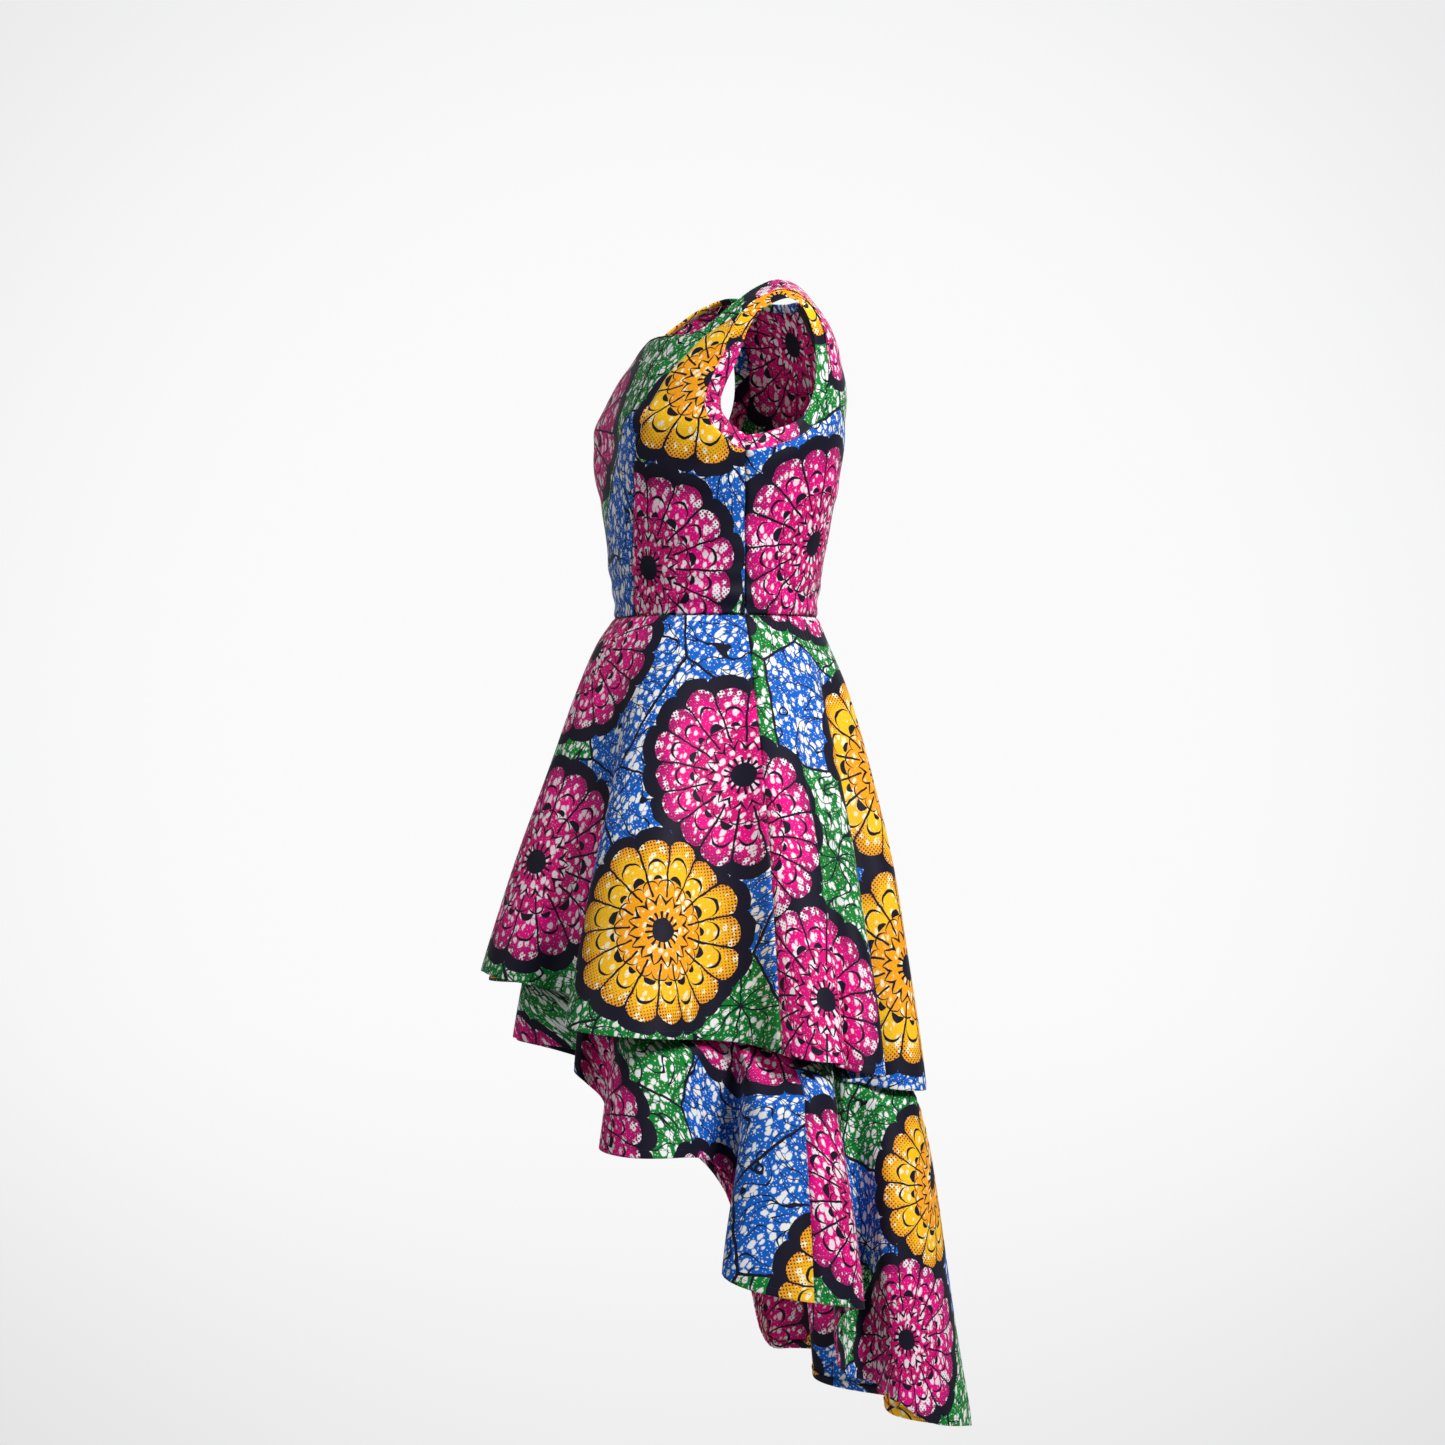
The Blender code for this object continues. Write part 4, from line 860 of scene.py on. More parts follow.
class UpperRoom:
    """Least distance of the upper tier from the axis, by direction and depth: the lower keeps inside it."""

    def __init__(self):
        turn = np.linspace(0, len(UPPER_FOLDS), 4 * ROOM_BINS, endpoint=False)
        angle = fold_columns(UPPER_FOLDS, turn)[0]
        reach = WAIST_Z - hem_height(UPPER_HEM, angle)
        self.rows = np.stack([self.least(turn, depth, reach) for depth in ROOM_DEPTHS])
        directions = np.radians(np.arange(ROOM_BINS) * 360 / ROOM_BINS - 180)
        self.hem = WAIST_Z - hem_height(UPPER_HEM, directions)

    def least(self, turn, depth, reach):
        """Least distance in each of the directions at one depth, eased over a few degrees."""
        place = upper_surface(turn, depth / reach)
        x = place[:, 0]
        y = place[:, 1] + SHOULDER_TO_AXIS
        direction = np.degrees(np.arctan2(x, -y)) + 180
        bins = np.floor(direction / 360 * ROOM_BINS).astype(int) % ROOM_BINS
        least = np.full(ROOM_BINS, np.inf)
        np.minimum.at(least, bins, np.hypot(x, y))
        wide = range(-ROOM_REACH, ROOM_REACH + 1)
        least = np.min([np.roll(least, shift) for shift in wide], axis=0)
        narrow = range(1 - ROOM_REACH, ROOM_REACH)
        return np.mean([np.roll(least, shift) for shift in narrow], axis=0)

    def at(self, direction, depth):
        """The room in a direction at a depth: past the hem it widens by a fixed slope."""
        column = (np.degrees(direction) + 180) / 360 * ROOM_BINS
        low = np.floor(column).astype(int)
        part = column - low
        low = low % ROOM_BINS
        high = (low + 1) % ROOM_BINS
        hem = self.hem[low] * (1 - part) + self.hem[high] * part
        held = np.minimum(depth, hem)
        row = np.clip(held / ROOM_DEPTHS[-1] * (len(ROOM_DEPTHS) - 1), 0, len(ROOM_DEPTHS) - 1.001)
        top = row.astype(int)
        down = row - top
        upper = self.rows[top, low] * (1 - part) + self.rows[top, high] * part
        lower = self.rows[top + 1, low] * (1 - part) + self.rows[top + 1, high] * part
        return upper * (1 - down) + lower * down + TIER_FREE_SLOPE * np.maximum(depth - hem, 0)


UPPER_ROOM = UpperRoom()


def lower_surface(turn, drop):
    """Point of the lower tier, kept inside the room that the upper tier leaves: drop is 0 at the waist,
    1 just under the upper tier's hem and 2 at its own hem."""
    angle, share, roll = fold_columns(LOWER_FOLDS, turn)
    covered = WAIST_Z - hem_height(UPPER_HEM, angle) + UPPER_HEM_PASS
    bare = WAIST_Z - hem_height(LOWER_HEM, angle) - covered
    depth = covered * np.minimum(drop, 1) + bare * np.maximum(drop - 1, 0)
    fold_depth = curve_through(depth, LOWER_RINGS["depth"], LOWER_RINGS["fold"])
    rolled = smooth_step(depth, LOWER_ROLL_FROM, LOWER_ROLL_TO)
    middle = np.linalg.norm(tier_ring(LOWER_RINGS, angle, depth)[0], axis=-1)
    point, out = tier_ring(LOWER_RINGS, angle + roll * rolled / middle, depth)
    point = point + out * (fold_depth * share)[..., None]
    distance = np.linalg.norm(point, axis=-1)
    direction = np.arctan2(point[..., 0], -point[..., 1])
    room = UPPER_ROOM.at(direction, depth) - curve_through(depth, TIER_ROOM["depth"], TIER_ROOM["gap"])
    least = np.minimum(distance, room)
    soft = least - TIER_BLEND * np.log1p(np.exp(-np.abs(distance - room) / TIER_BLEND))
    at_waist = 1 - smooth_step(depth, 0.0, WAIST_BLEND_DEPTH)
    kept = room * at_waist + soft * (1 - at_waist)
    point = point * (kept / distance)[..., None]
    return np.stack([point[..., 0], point[..., 1] - SHOULDER_TO_AXIS, WAIST_Z - depth], axis=-1)


def turn_at(folds, degrees):
    """The turn at which a tier's fold table reaches an angle."""
    turn = np.linspace(0, len(folds), 3601)[:-1]
    angle = np.degrees(fold_columns(folds, turn)[0])
    return float(np.interp(degrees, angle, turn))


def zip_slit(turn, drop, side):
    """Turns with the lower tier's centre back edge stood back from the zip, and closed under its end."""
    centre = turn_at(LOWER_FOLDS, 180)
    depth = (WAIST_Z - BACK_HEM_Z + UPPER_HEM_PASS) * drop
    closed_by = ZIP_DEPTH_UNDER_WAIST + ZIP_SLIT_CLOSE
    open_to = 1 - smooth_step(depth, ZIP_DEPTH_UNDER_WAIST + ZIP_SLIT_EASE, closed_by)
    step = 2e-3
    middle = np.full_like(drop, centre)
    span = lower_surface(middle + step, drop) - lower_surface(middle - step, drop)
    away = (ZIP_HALF_WIDTH + ZIP_SLIT_EDGE) * open_to / (np.linalg.norm(span, axis=-1) / (2 * step))
    near = np.clip(1 - np.abs(turn - centre), 0, 1)
    return turn - side * away * near


def sector_flat(points):
    """Flat pattern of a flared panel: each row of its grid becomes an arc of its own length about one centre.

    The centre's distance comes from how fast the rows lengthen on the way down, so the print runs down the
    panel's middle and turns towards its seams, as on cloth cut on the curve.
    """
    across = np.linalg.norm(np.diff(points, axis=1), axis=2)
    way = np.concatenate([np.zeros((len(points), 1)), np.cumsum(across, axis=1)], axis=1)
    down = np.linalg.norm(np.diff(points, axis=0), axis=2)
    fall = np.concatenate([np.zeros((1, points.shape[1])), np.cumsum(down, axis=0)], axis=0)
    total = way[:, -1]
    mean_fall = fall.mean(axis=1)
    spread_angle = np.polyfit(mean_fall, total, 1)[0]
    first = total[0] / max(spread_angle, 0.05)
    radius = first + fall
    turn = (way - total[:, None] / 2) / radius
    return np.stack([radius * np.sin(turn), -radius * np.cos(turn)], axis=-1)


def tier_creases(turn, depth, seed):
    """Unevenness of hanging cotton: flutes that grow downwards, slow waves along them, and waist puckers."""
    grow = smooth_step(depth, *FLUTES_GROW)
    flutes = wrinkle(turn, depth, [(5.3, 4.1, seed, 0.9, 0.0011), (8.9, -5.7, 2.1 * seed, 1.1, 0.0007)])
    waves = wrinkle(turn, depth, [(1.9, 17.0, seed + 1.0, 0.7, 0.0009), (3.1, 29.0, seed, 0.9, 0.0005)])
    puckers = np.exp(-depth / PUCKER_REACH) * np.sin(27 * turn + 2.0 * np.sin(3.1 * turn + seed))
    return (flutes + waves) * grow + PUCKER_HEIGHT * puckers


def tier_panel(name, surface, start, end, rows, material, seed, slit_side=0):
    """Panel of a tier on a fine grid, with creases, rolled seams and a narrow hem turned up inside.

    The hem's rows come after the lowest one: they go round a small half circle inwards and up again.
    With the piece comes the line of its hem's stitches, as points and outward directions.
    """
    count = max(8, round((end - start) * TIER_COLUMNS))
    turn, drop = np.meshgrid(np.linspace(start, end, count + 1), rows)
    track = zip_slit(turn, drop, slit_side) if slit_side else turn
    points = surface(track, drop)
    quads = grid_quads(*turn.shape)[:, ::-1]
    flat = sector_flat(points)
    shape = points.shape
    normals = quad_normals(points.reshape(-1, 3), quads).reshape(shape)
    depth = WAIST_Z - points[..., 2]
    points = points + normals * tier_creases(turn, depth, seed)[..., None]
    normals = quad_normals(points.reshape(-1, 3), quads).reshape(shape)
    keep = np.ones(shape[:2], bool)
    keep[-1, 1:-1] = False
    rolled = roll_seams(points.reshape(-1, 3), normals.reshape(-1, 3), quads, keep.ravel())
    points = rolled.reshape(shape)
    last = points[-1]
    normal = normals[-1]
    down = last - points[-2]
    down /= np.linalg.norm(down, axis=1, keepdims=True)
    stitch_line = (last - down * HEM_STITCH_UP, normal)
    turned = [last + down * out - normal * deep for out, deep in HEM_TURN]
    steps = np.cumsum(np.hypot(*np.diff(np.array([(0, 0)] + HEM_TURN), axis=0).T))
    away = flat[-1] / np.linalg.norm(flat[-1], axis=1, keepdims=True)
    points = np.concatenate([points, np.stack(turned)])
    flat = np.concatenate([flat, np.stack([flat[-1] + away * step for step in steps])])
    quads = grid_quads(*points.shape[:2])[:, ::-1]
    piece = cloth_object(name, points.reshape(-1, 3), flat.reshape(-1, 2), quads, material, name)
    return piece, stitch_line


def beads(name, starts, ends, radius, material):
    """Small round-ended rods, one from each start to its end: stitches, or the loops of a zip's coil."""
    way = ends - starts
    length = np.linalg.norm(way, axis=1, keepdims=True)
    along = way / length
    side = np.cross(along, [0.31, 0.27, 0.91])
    side /= np.linalg.norm(side, axis=1, keepdims=True)
    other = np.cross(along, side)
    shares = np.array([0.0, 0.12, 0.30, 0.70, 0.88, 1.0])
    widths = radius * np.array([0.15, 0.75, 1.0, 1.0, 0.75, 0.15])
    turns = np.arange(6) * math.pi / 3
    ring = side[:, None] * np.cos(turns)[:, None] + other[:, None] * np.sin(turns)[:, None]
    points = starts[:, None] + way[:, None] * shares[:, None]
    points = points[:, :, None] + ring[:, None] * widths[:, None, None]
    one = grid_quads(6, 6, wrap=True)[:, ::-1]
    quads = (one[None] + (np.arange(len(starts)) * 36)[:, None, None]).reshape(-1, 4)
    points = points.reshape(-1, 3)
    piece = cloth_object(name, points, points[:, :2], quads, material, thickness=0.0)
    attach(piece, "dress")


def stitch_row(line, normals):
    """Starts and ends of running stitches along a line on the cloth, one every STITCH_PITCH."""
    way = np.concatenate([[0], np.cumsum(np.linalg.norm(np.diff(line, axis=0), axis=1))])
    first = np.arange(STITCH_PITCH, way[-1] - STITCH_PITCH, STITCH_PITCH)
    lifted = line + normals * STITCH_LIFT
    return [
        np.stack([np.interp(at, way, lifted[:, i]) for i in range(3)], axis=1)
        for at in (first, first + STITCH_LENGTH)
    ]


def make_tier(word, surface, folds, sides, rows, material, seed, has_slit=False):
    """Front panel and two back panels of a tier, each with the line of its hem's stitches."""
    left = turn_at(folds, sides[0])
    back = turn_at(folds, 180)
    right = turn_at(folds, sides[1])
    panels = (
        ("_front", right - len(folds), left, 0),
        ("_back_left", left, back, 1),
        ("_back_right", back, right, -1),
    )
    return [
        tier_panel(word + name, surface, start, end, rows, material, seed, side * has_slit)
        for name, start, end, side in panels
    ]


def make_stitches(hems, thread):
    """Running stitches that hold every hem, on its outer face."""
    rows = [stitch_row(line, normals) for line, normals in hems]
    starts = np.concatenate([row[0] for row in rows])
    ends = np.concatenate([row[1] for row in rows])
    beads("hem_stitches", starts, ends, STITCH_RADIUS, thread)


def back_line(heights, sideways=0.0):
    """Outer face of the dress at the back, at some heights and one small distance sideways."""
    angle = angle_at(sideways, heights, True) * np.sign(sideways)
    bodice = bodice_surface(angle, lift_at(sideways, heights, True), True)
    drop = np.clip((WAIST_Z - heights) / (WAIST_Z - BACK_HEM_Z), 0, 1)
    centre = np.full_like(drop, turn_at(UPPER_FOLDS, 180))
    step = 0.002
    span = upper_surface(centre + step, drop) - upper_surface(centre - step, drop)
    turn = centre - sideways / (np.linalg.norm(span, axis=-1) / (2 * step))
    return np.where((heights >= WAIST_Z)[:, None], bodice, upper_surface(turn, drop))


def centre_back(heights):
    """The centre back line, its steps and its outward direction, at some heights."""
    line = back_line(heights)
    slope = np.gradient(line, axis=0)
    out = np.stack([np.zeros(len(line)), -slope[:, 2], slope[:, 1]], axis=1)
    out *= np.sign(out[:, 1:2])
    return line, slope, out / np.linalg.norm(out, axis=1, keepdims=True)


def make_zip_tape(material):
    """Two woven tapes inside the centre back seam, their outer edges drawn in a little."""
    low = WAIST_Z - ZIP_DEPTH_UNDER_WAIST + ZIP_TAPE_END_GAP
    heights = np.linspace(low, NECK_BACK_LOW[0][1] - ZIP_TAPE_TOP_GAP, ZIP_TAPE_ROWS)
    out = centre_back(heights)[2]
    shares, deeper = np.array(ZIP_TAPE_COLUMNS).T
    blocks = []
    for side in (1, -1):
        columns = [
            back_line(heights, side * share * ZIP_HALF_WIDTH) - out * drop
            for share, drop in zip(shares, deeper + ZIP_TAPE_DEPTH)
        ]
        points = np.stack(columns, axis=1).reshape(-1, 3)
        across, along = np.meshgrid(side * shares * ZIP_HALF_WIDTH, heights)
        quads = grid_quads(len(heights), len(shares))
        blocks.append((points, np.stack([across, along], axis=-1).reshape(-1, 2), quads[:, ::-side]))
    points, flat, quads = join_blocks(blocks)
    return cloth_object("zip_tape", points, flat, quads, material, "zip_tape")


def make_zip(coil):
    """Coil of the closed zip on the inside of its tape: two rows of loops that hook over each other."""
    low = WAIST_Z - ZIP_DEPTH_UNDER_WAIST + ZIP_COIL_END_GAP
    heights = np.arange(low, SLIDER_Z - ZIP_TAPE_TOP_GAP, COIL_PITCH)
    line, slope, out = centre_back(heights)
    middle = line - out * ZIP_COIL_DEPTH
    up = slope / np.linalg.norm(slope, axis=1, keepdims=True)
    wide = np.array([COIL_HALF_WIDTH, 0.0, 0.0])
    for side, word in ((1, "left"), (-1, "right")):
        starts = middle + wide * side + up * (side * COIL_PITCH / 4)
        ends = middle - wide * (0.25 * side) + up * (side * COIL_PITCH / 4)
        beads("zip_coil_" + word, starts, ends, COIL_RADIUS, coil)


def tube_of_rings(name, rings, material):
    """Closed solid through a row of equal rings, with a flat face over each end, its edges left crisp."""
    count = rings.shape[1]
    quads = grid_quads(len(rings), count, wrap=True)
    last = count * (len(rings) - 1)
    ends = [list(range(count))[::-1], list(range(last, last + count))]
    mesh = bpy.data.meshes.new(name)
    mesh.from_pydata(rings.reshape(-1, 3).tolist(), [], quads.tolist() + ends)
    mesh.materials.append(material)
    mesh.shade_smooth()
    mesh.set_sharp_from_angle(angle=math.radians(40))
    piece = bpy.data.objects.new(name, mesh)
    bpy.context.scene.collection.objects.link(piece)
    return piece


def slider_frame():
    """Where the slider sits: a point on the centre back, the way out and the way up the cloth."""
    line, slope, out = centre_back(np.linspace(SLIDER_Z - 0.006, SLIDER_Z + 0.006, 5))
    return line[2], out[2], slope[2] / np.linalg.norm(slope[2])


def make_slider(material):
    """Slider: a channel whose two cheeks stand highest at mid-length and are round at the ends."""
    place, out, up = slider_frame()
    ways = np.sin(np.linspace(-1, 1, 33) * math.pi / 2)
    inner = SLIDER_HALF_WIDTH - SLIDER_CHEEK
    end_height = SLIDER_BASE + SLIDER_CHEEK_END
    bend = SLIDER_BEND
    side = [
        (0.0, 0.0, 0), (SLIDER_HALF_WIDTH - bend, 0.0, 0), (SLIDER_HALF_WIDTH, bend, 0),
        (SLIDER_HALF_WIDTH, -bend, 1), (SLIDER_HALF_WIDTH - bend, 0.0, 1), (inner + bend, 0.0, 1),
        (inner, -bend, 1), (inner, SLIDER_BASE + bend, 0), (inner - bend, SLIDER_BASE, 0),
    ]
    outline = np.array(side + [(-u, v, top) for u, v, top in side[:0:-1]])
    rings = []
    for way in ways:
        round_end = math.sqrt(max(1 - way**2, 0.0))
        high = end_height + (SLIDER_HEIGHT - end_height) * round_end
        narrow = SLIDER_END_WIDTH + (1 - SLIDER_END_WIDTH) * min(1.0, 1.6 * round_end)
        across = outline[:, :1] * narrow * [1.0, 0.0, 0.0]
        height = (outline[:, 1] + outline[:, 2] * high)[:, None]
        rings.append(place + across + out * (height + SLIDER_LIFT) - up * way * SLIDER_HALF_LENGTH)
    piece = tube_of_rings("zip_slider_cast", np.stack(rings), material)
    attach(piece, "dress")
    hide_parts("zip_slider")


def make_pull(material):
    """Pull tab: a barrel head, a narrow neck and a drop-shaped leaf with a sunk middle."""
    place, out, up = slider_frame()
    pivot = place + out * (SLIDER_LIFT + SLIDER_BASE + PULL_GAP + PULL_HEAD)
    neck = SLIDER_HALF_WIDTH - SLIDER_CHEEK - PULL_GAP
    head = np.linspace(-0.98, 1, 13)
    barrel = PULL_HEAD * np.sqrt(np.maximum(1 - head**2, 0.22))
    leaf = np.linspace(0.06, 0.999, 40)
    round_tip = np.sqrt(1 - np.clip((leaf - 0.76) / 0.24, 0, 1) ** 2)
    drop_shape = np.minimum(1, 0.62 + 0.62 * leaf) * round_tip
    leaf_ways = PULL_NECK[-1] + (PULL_LENGTH - PULL_NECK[-1]) * leaf
    ways = [*(PULL_HEAD * head), *PULL_NECK, *leaf_ways]
    wide = [*np.full(len(head) + 2, neck), neck * PULL_NECK_WIDTH]
    wide += list(np.maximum(PULL_HALF_WIDTH * drop_shape, 0.0002))
    thick = [*barrel, *np.full(len(PULL_NECK) + len(leaf), PULL_HALF_THICKNESS)]
    around = np.linspace(0, 2 * math.pi, 33)[:-1]
    cosine = np.cos(around)
    sine = np.sin(around)
    across = np.sign(cosine) * np.abs(cosine) ** PULL_CORNER
    deep = np.sign(sine) * np.abs(sine) ** PULL_CORNER
    rings = []
    for way, half_wide, half_thick in zip(ways, wide, thick):
        in_leaf = smooth_step(way, *PULL_DIMPLE_START) * (1 - smooth_step(way, *PULL_DIMPLE_END))
        sunk = 1 - PULL_DIMPLE * in_leaf * (1 - smooth_step(np.abs(across), *PULL_DIMPLE_SIDES))
        sideways = (across * half_wide)[:, None] * [1.0, 0.0, 0.0]
        rings.append(pivot - up * way + sideways + out * (deep * half_thick * sunk)[:, None])
    piece = tube_of_rings("zip_pull_cast", np.stack(rings)[:, ::-1], material)
    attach(piece, "zip_pull")
    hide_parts("zip_pull")


def linear(hexes):
    """sRGB hex to linear colour with alpha."""
    values = np.array([int(hexes[i : i + 2], 16) for i in (1, 3, 5)]) / 255
    values = np.where(values <= 0.04045, values / 12.92, ((values + 0.055) / 1.055) ** 2.4)
    return (*values.tolist(), 1.0)


def add_node(tree, kind, takes=(), **settings):
    """Add a node, set its properties, and set or link its inputs, by number or name, in one call."""
    made = tree.nodes.new(kind)
    for name, value in settings.items():
        setattr(made, name, value)
    pairs = takes.items() if isinstance(takes, dict) else enumerate(takes)
    for place, value in pairs:
        if value is None:
            continue
        if isinstance(value, bpy.types.NodeSocket):
            tree.links.new(value, made.inputs[place])
        else:
            made.inputs[place].default_value = value
    return made


# The print, in metres on the flat cloth. Flowers stand one to a cell of a jittered grid.
FLOWER_CELL = 0.228
FLOWER_JITTER = 0.30
FLOWER_RADIUS = 0.107
PETALS = 16
LEAF_CELL = 0.135
BUBBLE_CELL = 0.0076
SPECK_CELL = 0.0042
HALFTONE_PITCH = 0.0034
VEIN_NOISE_RATE = 16.0
BUBBLE_NOISE_RATE = 34.0
# How fast a drawn line or a wax bubble wanders, and by how much in all
LINE_WANDER = (55.0, 0.0045)
BUBBLE_WANDER = (90.0, 0.0050)
FADE_RATE = 7.0
CRUMPLE_RATE = 60.0
WEAVE_DRAWN = 0.0009
TAPE_RIB_RATE = 380.0
NAVY = "#161426"
# Layers of colour: a name, the step that chooses or covers, then the colour or layer under and over it
PRINT_LAYERS = [
    ("ground", "leaf_blue", "#06822f", "#085fc2"),
    ("petals", "warm", "#ea0585", "#ffc313"),
    ("heart", "warm", "#d80a76", "#fca50a"),
    ("tips", "warm", "#b80d70", "#f09c0c"),
    ("wax", "warm", "#f6e6ef", "#fff0c4"),
    ("leaf_white", "white", "ground", "#eef0ee"),
    ("leaf_drawn", "leaf_lines", "leaf_white", NAVY),
    ("outlined", "in_rim", "leaf_drawn", NAVY),
    ("petal_heart", "middle_tone", "petals", "heart"),
    ("petal_tips", "tip_tone", "petal_heart", "tips"),
    ("petal_wax", "white", "petal_tips", "wax"),
    ("petal_dots", "dot", "petal_wax", "#4a2633"),
    ("petal_lines", "lines", "petal_dots", NAVY),
    ("printed", "in_flower", "outlined", "petal_lines"),
]

